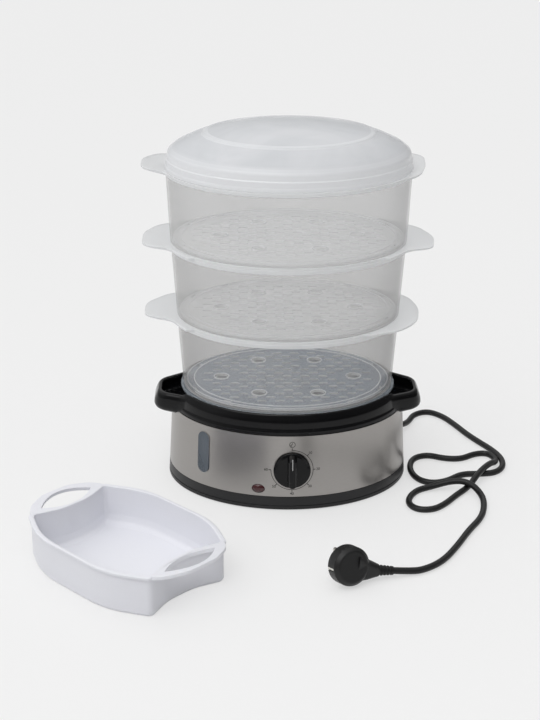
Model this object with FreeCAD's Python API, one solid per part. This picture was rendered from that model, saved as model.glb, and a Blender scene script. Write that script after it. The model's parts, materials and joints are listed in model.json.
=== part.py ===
import FreeCAD, Part
import math
import os

# Electric food steamer: an oval base with a water tank, a heater and a mechanical timer, a drip
# tray, three stacking steam baskets with lift-in perforated grids, a domed lid, a loose rice bowl
# and a mains lead with an angled plug.
# Millimetres, +Z up. The origin is the centre of the base's oval on the table, -Y is the front.
# Every ring of the base and of the tiers is an oval: it is turned about Z and squashed along Y.

V = FreeCAD.Vector
UP = V(0, 0, 1)
OUT = "parts"

# ---- driving dimensions ----
ASPECT = 0.815                 # width of every oval over its length
GAP = 0.3                      # air between pieces that lift apart
SCREW_R = 1.5
SCREW_FIT = 0.05               # radial clearance of a screw or shaft in its hole

FOOT_LIFT = 1.0                # underside of the base ring above the table
BAND_Z0 = 15.35                # foot and top of the steel band, and its half-lengths there
BAND_Z1 = 80.5
BAND_A0 = 124.5
BAND_A1 = 120.9
BAND_T = 0.6
BAND_SLOPE = (BAND_A1 - BAND_A0) / (BAND_Z1 - BAND_Z0)

SHELF_Z = 82.5                 # top of the shelf round the water tank
COLLAR_Z = 98.3
TANK_TOP_A = 106.0
TANK_FLOOR_A = 98.0
TANK_FLOOR_Z = 36.0
TANK_FRONT_Y = -52.0           # flat wall that leaves room for the timer
TANK_T = 2.5
HEATER_HOLE_R = 20.0

KNOB_X = 2.4
KNOB_Z = 44.4
KNOB_R = 18.75
SHAFT_R = 3.0
GAUGE_X = -86.7
GAUGE_Z = 51.3
GAUGE_W = 14.2
GAUGE_H = 44.3
LENS_X = -31.5
LENS_Z = 23.1
LENS_A = 6.8
LENS_ASPECT = 0.706

SCREW_SPOTS = [(-59, -76.5), (59, -76.5), (-69, 70.5), (69, 70.5)]
FOOT_SPOTS = [(-80, -45), (80, -45), (-80, 45), (80, 45)]

TRAY_A = 113.4                 # half-length of the drip tray's rim
TIER_PITCH = 77.2
TIER_H = 76.9
TIER_REST = 101.6              # height at which the lowest basket's shoulder rests
WALL_T = 2.0
SPIGOT_IN = 3.4                # how far a spigot stands in from the wall above it
SPIGOT_H = 3.0
# half-length at the shoulder, below the flange, and of the flange, for each basket from the lowest
TIERS = [(108.6, 113.6, 115.4), (114.0, 118.7, 120.3), (119.6, 122.8, 124.0)]
TIER_NAMES = ["bottom", "middle", "top"]
FLANGE_H = 6.9
TAB_T = 2.6

SLOT_L = 10.5
SLOT_W = 2.2
SLOT_PITCH = 18.4
ROW_PITCH = 9.35
ROWS = 7                       # rows of slots each side of the middle row
EGG_HOLES = [(-69, 0), (69, 0), (-30, -45), (30, -45), (-30, 45), (30, 45)]
EGG_R = 7.0

LID_REST = TIER_REST + 2 * TIER_PITCH + TIER_H + GAP
LID_A = 122.6

BOWL_PLACE = V(-156.1, -215.2, 0)
BOWL_TURN = -45.0
BOWL_H = 41.0
BOWL_WALL = 2.4

CORD_R = 3.25
GLAND_Z = 10.5
GLAND_X = 99.7
GLAND_REACH = 26.0             # length of the strain relief outside the ring
PLUG_HEAD = V(50.2, -250.0, 19.9)
PLUG_PIN_AXIS = V(-0.431, 0.872, -0.231)
PLUG_R = 18.5
COLLAR_TIP = V(92.3, -237.5, 7.0)
COLLAR_ROOT = V(77.0, -240.4, 9.2)


# ---- helpers ----
def corner_arc(before, here, after, radius):
    """Start, middle and end of the arc that rounds one corner, or the bare corner."""
    back = (before - here).normalize()
    ahead = (after - here).normalize()
    turn = math.pi - back.getAngle(ahead)
    if radius <= 0 or turn < 1e-4:
        return here, None, here
    reach = radius * math.tan(turn / 2)
    inward = (back + ahead).normalize()
    middle = here + inward * (radius / math.cos(turn / 2) - radius)
    return here + back * reach, middle, here + ahead * reach


def path(points, radii, closed=True):
    """Wire of straight runs through the points, each corner rounded by a tangent arc."""
    count = len(points)
    corners = []
    for i, here in enumerate(points):
        radius = radii[i] if closed or 0 < i < count - 1 else 0
        corners.append(corner_arc(points[i - 1], here, points[(i + 1) % count], radius))
    edges = []
    for i, (start, middle, end) in enumerate(corners):
        last_end = corners[i - 1][2]
        if (closed or i > 0) and last_end.distanceToPoint(start) > 1e-6:
            edges.append(Part.LineSegment(last_end, start).toShape())
        if middle is not None:
            edges.append(Part.Arc(start, middle, end).toShape())
    return Part.Wire(edges)


def loop(corners, z=0.0):
    """Closed outline at height z from (x, y) or (x, y, fillet) corners."""
    points = [V(c[0], c[1], z) for c in corners]
    return path(points, [c[2] if len(c) > 2 else 0 for c in corners])


def plate(corners, z0, z1):
    """Flat solid with the outline of the corners, from z0 up to z1."""
    return Part.Face(loop(corners, z0)).extrude(V(0, 0, z1 - z0))


def turned(corners):
    """Solid turned about Z from (radius, height) or (radius, height, fillet) corners."""
    points = [V(c[0], 0, c[1]) for c in corners]
    wire = path(points, [c[2] if len(c) > 2 else 0 for c in corners])
    return Part.Face(wire).revolve(V(0, 0, 0), UP, 360)


def squashed(shape, factor=ASPECT):
    """The shape narrowed along Y about the XZ plane."""
    matrix = FreeCAD.Matrix()
    matrix.A22 = factor
    return shape.transformGeometry(matrix)


def oval(corners):
    """Turned solid with the steamer's oval plan."""
    return squashed(turned(corners))


def cylinder(radius, start, axis, length):
    """Round bar from a point along an axis."""
    return Part.makeCylinder(radius, length, start, axis)


def frame_at(origin, across, outward):
    """Placement whose X is across, whose Z is outward and whose origin is the point."""
    n = V(outward).normalize()
    x = V(across).normalize()
    y = n.cross(x)
    matrix = FreeCAD.Matrix(x.x, y.x, n.x, origin.x, x.y, y.y, n.y, origin.y,
                            x.z, y.z, n.z, origin.z, 0, 0, 0, 1)
    return FreeCAD.Placement(matrix)


def placed(shape, placement):
    """Copy of a shape modelled about the origin, moved into its frame."""
    copy = shape.copy()
    copy.Placement = placement.multiply(copy.Placement)
    return copy


def band_frame(x, z):
    """Frame on the band's front at x and z: Z outward, Y up the band."""
    a = BAND_A0 + (z - BAND_Z0) * BAND_SLOPE
    b = a * ASPECT
    y = -b * math.sqrt(1 - (x / a) ** 2)
    outward = V(x / a ** 2, y / b ** 2, -BAND_SLOPE / a)
    return frame_at(V(x, y, z), UP.cross(outward), outward)


def pill(width, height, z0, z1, up=0.0):
    """Upright plate with round ends, centred on local Z and raised by up."""
    x, y, r = width / 2, height / 2, width / 2 - 0.05
    return plate([(-x, up - y, r), (x, up - y, r), (x, up + y, r), (-x, up + y, r)], z0, z1)


def both_sides(shape):
    """The shape and its mirror image across the YZ plane."""
    return [shape, shape.mirror(V(0, 0, 0), V(1, 0, 0))]


def save(name, shape):
    """Write one node after a check that it is sound."""
    if not shape.isValid():
        raise ValueError(name + " is not a valid shape")
    shape.exportStep(os.path.join(OUT, name + ".step"))
    print(name, len(shape.Solids), round(shape.Volume))


# ---- base: ring, cover, feet and band ----
def gland_frame():
    """Frame of the cord's exit: origin on the ring's outer face, Z out of it."""
    a = BAND_A0 + 0.4
    b = a * ASPECT
    y = b * math.sqrt(1 - (GLAND_X / a) ** 2)
    outward = V(GLAND_X / a ** 2, y / b ** 2, 0)
    return frame_at(V(GLAND_X, y, GLAND_Z), UP.cross(outward), outward)


def base_shell():
    """Foot ring with a shadow groove, a ledge for the cover and an upstand inside the band."""
    ring = oval([(121.0, FOOT_LIFT), (125.4, FOOT_LIFT, 0.8), (125.2, 4.7), (124.4, 4.9),
                 (124.4, 5.5), (125.1, 5.7), (BAND_A0 + 0.1, BAND_Z0 - 0.25, 0.4),
                 (BAND_A0 - 0.9, BAND_Z0 - 0.25), (BAND_A0 - 1.2, 17.4), (120.9, 17.4),
                 (120.9, 7.0), (117.6, 7.0), (117.6, 4.8), (121.0, 4.8)])
    hole = Part.makeCylinder(5.2, 20, V(0, 0, -12))
    recess = Part.makeCylinder(7.0, 8, V(0, 0, -12.9))
    return ring.cut([placed(hole, gland_frame()), placed(recess, gland_frame())])


def bottom_cover():
    """Plate under the base with screw holes, foot sockets and two rows of vents."""
    cover = oval([(0, 2.2), (120.6, 2.2), (120.6, 4.4), (0, 4.4)])
    cuts = [cylinder(SCREW_R + 0.3, V(x, y, 2), UP, 3) for x, y in SCREW_SPOTS]
    cuts += [cylinder(2.0, V(x, y, 2), UP, 3) for x, y in FOOT_SPOTS]
    for x in range(-36, 37, 12):
        for y in (-20, 20):
            cuts.append(plate([(x - 2, y - 9), (x + 2, y - 9), (x + 2, y + 9), (x - 2, y + 9)], 2, 5))
    return cover.cut(cuts)


def rubber_feet():
    """Four turned feet with pegs pressed into the cover."""
    foot = turned([(0, 0), (7, 0, 0.6), (7.6, 2.1), (1.95, 2.1), (1.95, 4.5), (0, 4.5)])
    return Part.makeCompound([foot.translated(V(x, y, 0)) for x, y in FOOT_SPOTS])


def cover_screws():
    """Four pan-head screws up through the cover."""
    screw = turned([(0, 0.8), (3.2, 0.8), (3.2, 2.1), (SCREW_R, 2.1), (SCREW_R, 16), (0, 16)])
    return Part.makeCompound([screw.translated(V(x, y, 0)) for x, y in SCREW_SPOTS])


def steel_band():
    """Sheet band, a little narrower at the top, with openings for gauge, lens and timer."""
    sheet = oval([(BAND_A0, BAND_Z0), (BAND_A1, BAND_Z1), (BAND_A1 - BAND_T, BAND_Z1),
                  (BAND_A0 - BAND_T, BAND_Z0)])
    knob = band_frame(KNOB_X, KNOB_Z)
    lens = squashed(Part.makeCylinder(LENS_A, 8, V(0, 0, -4)), LENS_ASPECT)
    cuts = [placed(pill(GAUGE_W + 0.4, GAUGE_H + 0.4, -4, 4), band_frame(GAUGE_X, GAUGE_Z)),
            placed(lens, band_frame(LENS_X, LENS_Z)),
            placed(Part.makeCylinder(5.4, 8, V(0, 0, -4)), knob)]
    for side in (-1, 1):
        hole = Part.makeCylinder(SCREW_R + 0.2, 8, V(14 * side, 0, -4))
        cuts.append(placed(hole, knob))
    return sheet.cut(cuts)


# ---- upper housing: collar, tank and scoop handles ----
def scoop_outline(z, tip, tip_half, root_half, corner):
    """Plan outline of a handle at one height, wide at the collar and rounded at the tip."""
    return loop([(98, root_half), (98, -root_half), (tip, -tip_half, corner),
                 (tip, tip_half, corner)], z)


def scoop(sections):
    """Ruled solid through the outlines (z, tip, tip_half, root_half, corner)."""
    return Part.makeLoft([scoop_outline(*section) for section in sections], True, True)


def tank(top_a, floor_a, floor_z, top_z, front_y, corner):
    """Oval bucket with a flat front."""
    bucket = oval([(0, floor_z), (floor_a, floor_z, corner), (top_a, top_z), (0, top_z)])
    keep = Part.makeBox(260, 200, 80, V(-130, front_y, floor_z - 5))
    return bucket.common(keep)


def upper_housing():
    """One moulding: collar, shelf, water tank, two hollow scoop handles and screw bosses."""
    collar = oval([(0, SHELF_Z - 2.5), (117.2, SHELF_Z - 2.5), (117.2, 76), (119.4, 76),
                   (119.4, BAND_Z1 + 0.3), (120.8, BAND_Z1 + 0.3), (120.2, 85.4, 0.5),
                   (118.9, 86.3), (117.9, 93.5, 14), (115.0, COLLAR_Z, 0.6),
                   (112.6, COLLAR_Z), (111.6, SHELF_Z), (0, SHELF_Z)])
    handles = both_sides(scoop([(76.5, 136.5, 8, 38, 12), (80.0, 140.0, 10, 42, 14),
                                (95.0, 135.4, 14.2, 42.4, 18), (96.4, 134.2, 13.4, 41.6, 18)]))
    pockets = both_sides(scoop([(83.0, 135.6, 8.0, 35, 12), (98.6, 131.2, 12.3, 38.5, 17)]))
    band_room = oval([(0, 70), (BAND_A1 + 0.9, 70), (BAND_A1 + 0.9, BAND_Z1 + 0.3),
                      (0, BAND_Z1 + 0.3)])
    handles = [handle.cut(band_room) for handle in handles]
    outer = tank(TANK_TOP_A, TANK_FLOOR_A, TANK_FLOOR_Z, SHELF_Z, TANK_FRONT_Y, 8)
    inner = tank(TANK_TOP_A - TANK_T, TANK_FLOOR_A - TANK_T, TANK_FLOOR_Z + TANK_T, SHELF_Z + 0.1,
                 TANK_FRONT_Y + TANK_T, 6)
    gauge = band_frame(GAUGE_X, GAUGE_Z)
    duct = placed(pill(16, 34, -36, -9.4, 4.5), gauge)
    duct_bore = placed(pill(11, 29, -46, -9), gauge)
    bosses = [cylinder(4.25, V(x, y, 4.5), UP, SHELF_Z - 6) for x, y in SCREW_SPOTS]
    drills = [cylinder(SCREW_R + SCREW_FIT, V(x, y, 4), UP, 14) for x, y in SCREW_SPOTS]
    body = collar.multiFuse(handles + [outer, duct] + bosses)
    heater_hole = cylinder(HEATER_HOLE_R, V(0, 0, 30), UP, 12)
    return body.cut(pockets + [inner, duct_bore, heater_hole] + drills)


# ---- heater, inside the tank ----
def heating_element():
    """Cast disc heater with a raised ring, its underside through the tank's floor."""
    return turned([(0, 24), (10, 24), (10, 30), (19.5, 30), (19.5, 39.9), (28, 39.9),
                   (28, 41.4), (25, 41.4), (25, 50, 4), (14, 50, 3), (12.5, 44.5), (0, 44.5)])


def heater_gasket():
    """Flat ring between the heater's flange and the tank's floor."""
    return turned([(20.4, 38.6), (27.4, 38.6), (27.4, 39.8), (20.4, 39.8)])


def heater_clamp():
    """Ring plate that pulls the heater down from below, with three lugs."""
    ring = turned([(19.8, 33.6), (28, 33.6), (28, 35.8), (19.8, 35.8)])
    lugs = []
    for k in range(3):
        angle = math.radians(30 + 120 * k)
        lugs.append(cylinder(5, V(27 * math.cos(angle), 27 * math.sin(angle), 33.6), UP, 2.2))
    return ring.multiFuse(lugs)


def thermal_cutout():
    """Disc thermostat with two terminals, under the heater."""
    can = turned([(0, 16), (7.5, 16), (7.5, 22), (9, 22), (9, 23.9), (0, 23.9)])
    blades = [Part.makeBox(1, 6, 8, V(x, -3, 9)) for x in (-4.5, 3.5)]
    return can.multiFuse(blades)


def steam_ring():
    """Loose open cone round the heater that holds back all but a little of the water."""
    cone = turned([(33.5, 38.8), (35.5, 38.8), (33.5, 60, 4), (24.5, 78), (22.5, 78),
                   (31.6, 59.6, 4)])
    gates = []
    for k in range(4):
        angle = 45 + 90 * k
        gate = plate([(28, -5), (40, -5), (40, 5), (28, 5)], 38, 43)
        gates.append(gate.rotated(V(0, 0, 0), UP, angle))
    return cone.cut(gates)


# ---- drip tray, baskets, grids and lid ----
def drip_tray():
    """Shallow tray on the collar with a chimney in its middle for the steam."""
    return oval([(TRAY_A, 98.7), (TRAY_A, 103.0, 0.6), (110.4, 103.0, 0.5), (109.3, 101.2),
                 (106.9, 101.2), (105.6, 90.2, 3), (37.4, 92.0), (36.6, 95.4), (35.0, 95.4),
                 (35.9, 90.4), (107.0, 88.4, 4), (108.4, 98.7)])


def lobe(tip):
    """Wide round lifting tab, in plan, towards +X."""
    return [(90, 62), (90, -62), (121, -51, 26), (tip + 0.3, -33, 31), (tip + 0.3, 33, 31),
            (121, 51, 26)]


def blunt(tip):
    """Lifting tab with straight sides and a short flat end."""
    return [(84, 66), (84, -66), (106, -58, 30), (tip, -21.5, 9), (tip, 21.5, 9), (106, 58, 30)]


def crescent(tip):
    """Shallow tab that follows the flange with a slightly smaller curve."""
    return [(80, 66), (80, -66), (112, -55, 30), (tip, -24, 44), (tip, 24, 44), (112, 55, 30)]


TABS = [(blunt(144.5), crescent(131.8)), (lobe(145.0), lobe(146.0)), (lobe(145.5), crescent(135.5))]


def basket(k):
    """Open oval tier: spigot, shoulder, ledge for the grid, leaning wall, flange and two tabs."""
    shoulder, neck, flange = TIERS[k]
    rest = TIER_REST + k * TIER_PITCH
    top = rest + TIER_H
    spigot = shoulder - SPIGOT_IN
    wall = oval([(spigot, rest - SPIGOT_H), (spigot, rest), (shoulder, rest, 0.8),
                 (neck, top - FLANGE_H), (flange, top - FLANGE_H + 0.3, 0.8), (flange, top, 1.0),
                 (neck - WALL_T, top, 0.6), (shoulder - WALL_T, rest + 1.1),
                 (spigot - 6.0, rest + 1.1), (spigot - 6.0, rest - 0.9),
                 (spigot - WALL_T, rest - 0.9), (spigot - WALL_T, rest - SPIGOT_H)])
    left, right = TABS[k]
    left_tab = plate(left, top - TAB_T, top).mirror(V(0, 0, 0), V(1, 0, 0))
    right_tab = plate(right, top - TAB_T, top)
    inside = oval([(0, top - 9), (neck - 0.6, top - 9), (neck - 0.6, top + 1), (0, top + 1)])
    tabs = [tab.cut(inside) for tab in (left_tab, right_tab)]
    return wall.multiFuse(tabs)


def slot_spots(limit):
    """Centres of the steam slots: staggered rows, kept inside the rim ring and off the egg holes."""
    spots = []
    for row in range(-ROWS, ROWS + 1):
        y = row * ROW_PITCH
        shift = 0.5 if row % 2 else 0.0
        for column in range(-6, 7):
            x = (column + shift) * SLOT_PITCH
            reach = math.hypot(abs(x) + SLOT_L / 2, (abs(y) + SLOT_W / 2) / ASPECT)
            clear = min(math.hypot(max(abs(x - hx) - SLOT_L / 2, 0), y - hy) for hx, hy in EGG_HOLES)
            if reach < limit and clear > EGG_R + 3.2:
                spots.append((x, y))
    return spots


def rectangle(x, y, length, width, z, turn=0.0):
    """Closed rectangle wire about a point, turned in plan."""
    half_x, half_y = length / 2, width / 2
    corners = [V(-half_x, -half_y, 0), V(half_x, -half_y, 0), V(half_x, half_y, 0),
               V(-half_x, half_y, 0), V(-half_x, -half_y, 0)]
    wire = Part.makePolygon(corners)
    wire.Placement = FreeCAD.Placement(V(x, y, z), FreeCAD.Rotation(UP, turn))
    return wire


def oval_wire(a, z):
    """Oval outline at one height."""
    return Part.Wire(Part.Ellipse(V(0, 0, z), a, a * ASPECT).toShape())


def grid(k):
    """Lift-in steam grid: slots in staggered rows, six ringed egg holes, a rim rib, clip slots."""
    a = TIERS[k][0] - WALL_T - 0.6
    under = TIER_REST + k * TIER_PITCH + 1.4
    top = under + 1.8
    wires = [oval_wire(a, under)]
    wires += [rectangle(x, y, SLOT_L, SLOT_W, under) for x, y in slot_spots(a - 12)]
    for x, y in EGG_HOLES:
        wires.append(Part.Wire(Part.makeCircle(EGG_R, V(x, y, under))))
    clip_a = a - 4.6
    for degrees in (23, 52, 128, 157, 203, 232, 308, 337):
        t = math.radians(degrees)
        x, y = clip_a * math.cos(t), clip_a * ASPECT * math.sin(t)
        along = math.degrees(math.atan2(ASPECT * math.cos(t), -math.sin(t)))
        wires.append(rectangle(x, y, 9, 3.2, under, along))
    sheet = Part.makeFace(wires, "Part::FaceMakerBullseye").extrude(V(0, 0, top - under))
    extras = [oval([(a - 9.4, under + 0.9), (a - 8.0, under + 0.9), (a - 8.0, top + 0.8),
                    (a - 9.4, top + 0.8)])]
    for x, y in EGG_HOLES:
        ring = turned([(EGG_R, under + 0.6), (EGG_R + 1.3, under + 0.6), (EGG_R + 1.3, top + 1.2),
                       (EGG_R, top + 1.2)])
        extras.append(ring.translated(V(x, y, 0)))
    return sheet.multiFuse(extras)


def lid():
    """Domed lid with a rounded shoulder and a raised oval panel in the middle of its top."""
    rest = LID_REST
    return oval([(LID_A - 1.8, rest), (LID_A, rest, 0.6), (122.3, 343.4, 1.2), (121.9, 346.4, 4),
                 (113.5, 353.4, 30), (97.0, 361.4, 60), (85.5, 365.0), (80.5, 367.2, 2),
                 (56.0, 371.6, 120), (26.0, 374.8, 160), (0, 375.4), (0, 373.4), (26.0, 372.8, 160),
                 (56.0, 369.7, 120), (80.0, 365.4, 2), (85.0, 363.2), (96.4, 359.6, 60),
                 (112.4, 351.9, 30), (120.1, 345.4, 3), (120.5, 342.6)])


# ---- timer, knob, gauge and lamp behind the band ----
def timer_unit():
    """Wind-up timer: front plate, squared case, bearing collar and two screw holes."""
    case = plate([(-21, -21, 3), (21, -21, 3), (21, 21, 3), (-21, 21, 3)], -28, -4.6)
    front = plate([(-21.5, -22, 4), (21.5, -22, 4), (21.5, 22, 4), (-21.5, 22, 4)], -4.8, -2.8)
    collar = Part.makeCylinder(5.0, 2.6, V(0, 0, -3.6))
    post = Part.makeCylinder(3.0, 5.0, V(0, 0, -32.9))
    body = case.multiFuse([front, collar, post])
    bores = [Part.makeCylinder(SHAFT_R + SCREW_FIT, 13, V(0, 0, -12.4))]
    bores += [Part.makeCylinder(SCREW_R + SCREW_FIT, 8, V(14 * side, 0, -10)) for side in (-1, 1)]
    return placed(body.cut(bores), band_frame(KNOB_X, KNOB_Z))


def timer_bell():
    """Pressed steel bell on the timer's back post."""
    bell = turned([(3.05, -33.0), (3.05, -32.2), (15.0, -32.2, 3), (17.0, -38.0), (16.2, -38.0),
                   (14.4, -33.0, 3)])
    return placed(bell, band_frame(KNOB_X, KNOB_Z))


def timer_screws():
    """Two screws through the band into the timer, hidden by the knob."""
    screw = turned([(0, 0.6), (2.8, 0.6), (2.8, -0.4), (SCREW_R, -0.4), (SCREW_R, -9), (0, -9)])
    pair = Part.makeCompound([screw.translated(V(14 * side, 0, 0)) for side in (-1, 1)])
    return placed(pair, band_frame(KNOB_X, KNOB_Z))


def timer_shaft():
    """Shaft with a flat, from inside the timer into the knob."""
    bar = Part.makeCylinder(SHAFT_R, 21.5, V(0, 0, -12))
    flat = Part.makeBox(8, 4, 8, V(-4, 1.6, 2))
    return placed(bar.cut(flat), band_frame(KNOB_X, KNOB_Z))


def grip_section(z, width, length, corner):
    """Rounded rectangle across the knob at one height."""
    x, y = width / 2, length / 2
    return loop([(-x, -y, corner), (x, -y, corner), (x, y, corner), (-x, y, corner)], z)


def timer_knob():
    """Thin disc with a tapered upright grip, bored for the shaft with a flat."""
    disc = turned([(0, 1.0), (KNOB_R - 0.4, 1.0), (KNOB_R, 1.5), (KNOB_R - 0.2, 2.7, 0.5),
                   (15.5, 3.4), (0, 3.8)])
    grip = Part.makeLoft([grip_section(3.0, 9.6, 35.0, 4.2), grip_section(11.6, 7.8, 31.0, 3.6),
                          grip_section(13.0, 5.6, 28.6, 2.6)], True, True)
    bore = Part.makeCylinder(SHAFT_R + SCREW_FIT, 10.2, V(0, 0, 0))
    flat = Part.makeBox(8, 4, 7.7, V(-4, 1.65, 2.4))
    return placed(disc.fuse(grip).cut(bore.cut(flat)), band_frame(KNOB_X, KNOB_Z))


def gauge_window():
    """Clear level window: front face in the band, flange behind it, open box to the tank."""
    face = pill(GAUGE_W, GAUGE_H, -1.6, 0.7)
    flange = pill(GAUGE_W + 2.6, GAUGE_H + 2.6, -3.4, -1.5)
    box = pill(14, 33, -7.6, -3.2, 4.5)
    hollow = pill(10, 29, -8, -1.2, 4.5)
    return placed(face.multiFuse([flange, box]).cut(hollow), band_frame(GAUGE_X, GAUGE_Z))


def gauge_gasket():
    """Soft ring between the window's box and the tank's duct."""
    ring = pill(15, 33.5, -9.3, -7.7, 4.5).cut(pill(11, 29.5, -9.5, -7.5, 4.5))
    return placed(ring, band_frame(GAUGE_X, GAUGE_Z))


def indicator_lens():
    """Oval lamp lens, domed in front, with a flange and a barrel behind the band."""
    a = LENS_A - 0.15
    lens = turned([(0, 1.7), (3.2, 1.5, 6), (a - 0.7, 0.4, 2), (a, -0.8), (a, -1.7), (a + 0.5, -1.7),
                   (a + 0.5, -2.9), (5.2, -2.9), (5.2, -9.5), (3.9, -9.5), (3.9, -2.0), (0, -2.0)])
    return placed(squashed(lens, LENS_ASPECT), band_frame(LENS_X, LENS_Z))


def indicator_lamp():
    """Small neon lamp in the lens's barrel."""
    lamp = turned([(0, -24), (2.2, -24), (2.2, -4, 1.5), (0, -3)])
    return placed(lamp, band_frame(LENS_X, LENS_Z))


# ---- cord, gland, plug ----
def strain_relief():
    """Sleeve that snaps into the ring, tapered outside, with the lead's sheath inside."""
    sleeve = turned([(0, -22), (3.6, -22), (3.6, -8), (6.4, -8), (6.4, -5.6), (5.15, -5.6),
                     (5.15, 0.6), (6.8, 0.6, 0.5), (6.8, 2.8, 0.5), (5.6, 3.4), (4.3, GLAND_REACH),
                     (0, GLAND_REACH)])
    return placed(sleeve, gland_frame())


def cord_clamp():
    """Bridge that holds the sheath down on the cover."""
    bridge = plate([(-11, -6, 1), (11, -6, 1), (11, 6, 3), (-11, 6, 3)], -17.5, -9.5)
    bridge = bridge.cut(Part.makeCylinder(3.65, 20, V(0, 0, -25)))
    return placed(bridge, gland_frame())


def terminal_block():
    """Three-way terminal block at the sheath's end."""
    block = plate([(-13, -5.9, 1), (13, -5.9, 1), (13, 7, 1), (-13, 7, 1)], -36, -22.3)
    bores = [Part.makeCylinder(1.8, 10, V(x, 0, -32)) for x in (-8.5, 0, 8.5)]
    return placed(block.cut(bores), gland_frame())


def gland_tip():
    """Where the cord leaves the strain relief."""
    return gland_frame().multVec(V(0, 0, GLAND_REACH))


# Route of the lead on the table: in one loop beside the base, over itself twice, to the plug.
CORD_POINTS = [gland_tip(), V(126.1, 85.8, 10.5), V(134.5, 96, 6.4), V(142, 111, 3.3),
               V(149, 130, 3.3), V(166, 140, 3.3), V(182, 126, 3.3), V(194, 100, 3.3),
               V(206, 69, 3.3), V(231, 24, 3.3), V(233, -5, 3.3), V(222, -23, 3.3),
               V(204, -26, 3.3), V(184, -26, 3.3), V(167, -43, 3.3),
               V(149, -48, 3.3), V(135, -37, 3.3), V(130, -12, 3.3), V(136, 13, 3.3), V(153, 22, 3.3),
               V(171, 12, 3.3), V(189, 11, 3.3), V(205, 24, 3.3), V(219, 25.5, 3.3), V(225.5, 13, 3.3),
               V(224, -2, 5.5), V(215, -16, 10.9), V(200, -39, 10.9), V(188, -57, 3.7),
               V(172, -76, 3.3), V(159, -95, 3.3), V(145, -108, 3.3), V(127, -107, 3.3),
               V(120, -89, 3.3), V(131, -65, 3.3), V(149, -57, 4.2), V(171, -57, 10.9),
               V(188, -61, 10.9), V(199, -77, 4.2), V(198, -100, 3.3), V(191, -126, 3.3),
               V(175, -152, 3.3), V(160, -183, 3.3), V(142, -214, 3.3), V(121, -231, 3.4),
               V(106, -234.6, 4.8), COLLAR_TIP]


def cord_radii():
    """Bend radius at each inner point: as large as its two runs allow."""
    radii = [0.0]
    for before, here, after in zip(CORD_POINTS, CORD_POINTS[1:], CORD_POINTS[2:]):
        turn = (here - before).getAngle(after - here)
        radii.append(0.45 * min((here - before).Length, (after - here).Length) / math.tan(turn / 2))
    return radii + [0.0]


def power_cord():
    """Tube of the lead along straight runs and tangent arcs."""
    radii = cord_radii()
    spine = path(CORD_POINTS, radii, closed=False)
    start = (CORD_POINTS[1] - CORD_POINTS[0]).normalize()
    ring = Part.Wire(Part.makeCircle(CORD_R, CORD_POINTS[0], start))
    tube = spine.makePipeShell([ring], True, True)
    print("cord radii", [round(r, 1) for r in radii[1:-1]])
    print("cord length", round(spine.Length, 1), "volume ratio",
          round(tube.Volume / (math.pi * CORD_R ** 2 * spine.Length), 4))
    return tube


def plug_frame():
    """Frame of the plug: Z along the pins, X towards the cable."""
    across = UP.cross(PLUG_PIN_AXIS) * -1
    return frame_at(PLUG_HEAD, across, PLUG_PIN_AXIS)


def plug_section(centre, axis, width, height, corner):
    """Rounded rectangle wire square to an axis, for the neck between head and collar."""
    wire = grip_section(0, width, height, corner)
    return placed(Part.Face(wire), frame_at(centre, UP.cross(axis), axis)).Wires[0]


def plug_body():
    """Angled plug: round head, neck that narrows to the side, ribbed collar on the lead."""
    frame = plug_frame()
    head = turned([(0, -9.5), (15.0, -9.5, 3), (PLUG_R, -6.0, 2), (PLUG_R, 6.4, 0.6), (0, 6.4)])
    pin_holes = [Part.makeCylinder(2.4, 12, V(0, 9.5 * side, -4)) for side in (-1, 1)]
    grooves = [Part.makeBox(6.2, 3, 13, V(16.4 * side - 3.1, -1.5, -4.5)) for side in (-1, 1)]
    head = placed(head.cut(pin_holes), frame)
    out = (COLLAR_TIP - COLLAR_ROOT).normalize()
    neck = Part.makeLoft([plug_section(V(57.5, -250.0, 17.6), out, 14, 27, 5),
                          plug_section(V(68, -244.6, 12.4), out, 12.5, 19, 5),
                          plug_section(COLLAR_ROOT + out * 1.5, out, 10.5, 11, 4.5)], True, True)
    reach = (COLLAR_TIP - COLLAR_ROOT).Length
    ribs = [(0, 0), (5.4, 0)]
    for k in range(4):
        s = 2.0 + 3.2 * k
        r = 5.2 - 0.25 * k
        ribs += [(r, s), (r - 0.7, s + 0.5), (r - 0.7, s + 1.3), (r - 0.1, s + 1.8)]
    ribs += [(4.1, reach), (0, reach)]
    collar = placed(turned(ribs), frame_at(COLLAR_ROOT, UP.cross(out), out))
    grooves = [placed(groove, frame) for groove in grooves]
    return head.multiFuse([neck, collar]).cut(grooves)


def plug_pins():
    """Two round pins set in the head."""
    pin = turned([(0, -3.9), (2.35, -3.9), (2.35, 24.0), (1.6, 25.4), (0, 25.4)])
    pins = Part.makeCompound([pin.translated(V(0, 9.5 * side, 0)) for side in (-1, 1)])
    return placed(pins, plug_frame())


def plug_earth_contacts():
    """Two sprung earth strips in the head's side grooves."""
    strips = []
    for side in (-1, 1):
        strips.append(Part.makeBox(1.2, 2.6, 12.4, V(16.9 * side - 0.6, -1.3, -4.3)))
    return placed(Part.makeCompound(strips), plug_frame())


# ---- rice bowl ----
def bowl_outline(inset, z):
    """Plan of the bowl: bulging sides, hollow ends, drawn in by inset."""
    side = (46 - 1.2 * inset, 66.5 - inset, 110)
    corner = (85.5 - 1.15 * inset, 45.5 - 0.85 * inset, 5.5 if inset < 3 else 3.5)
    end = (75.5 - inset, 16, 55)
    quarter = [side, corner, end]
    right = quarter + [(x, -y, r) for x, y, r in reversed(quarter)]
    return loop(right + [(-x, -y, r) for x, y, r in right], z)


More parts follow.
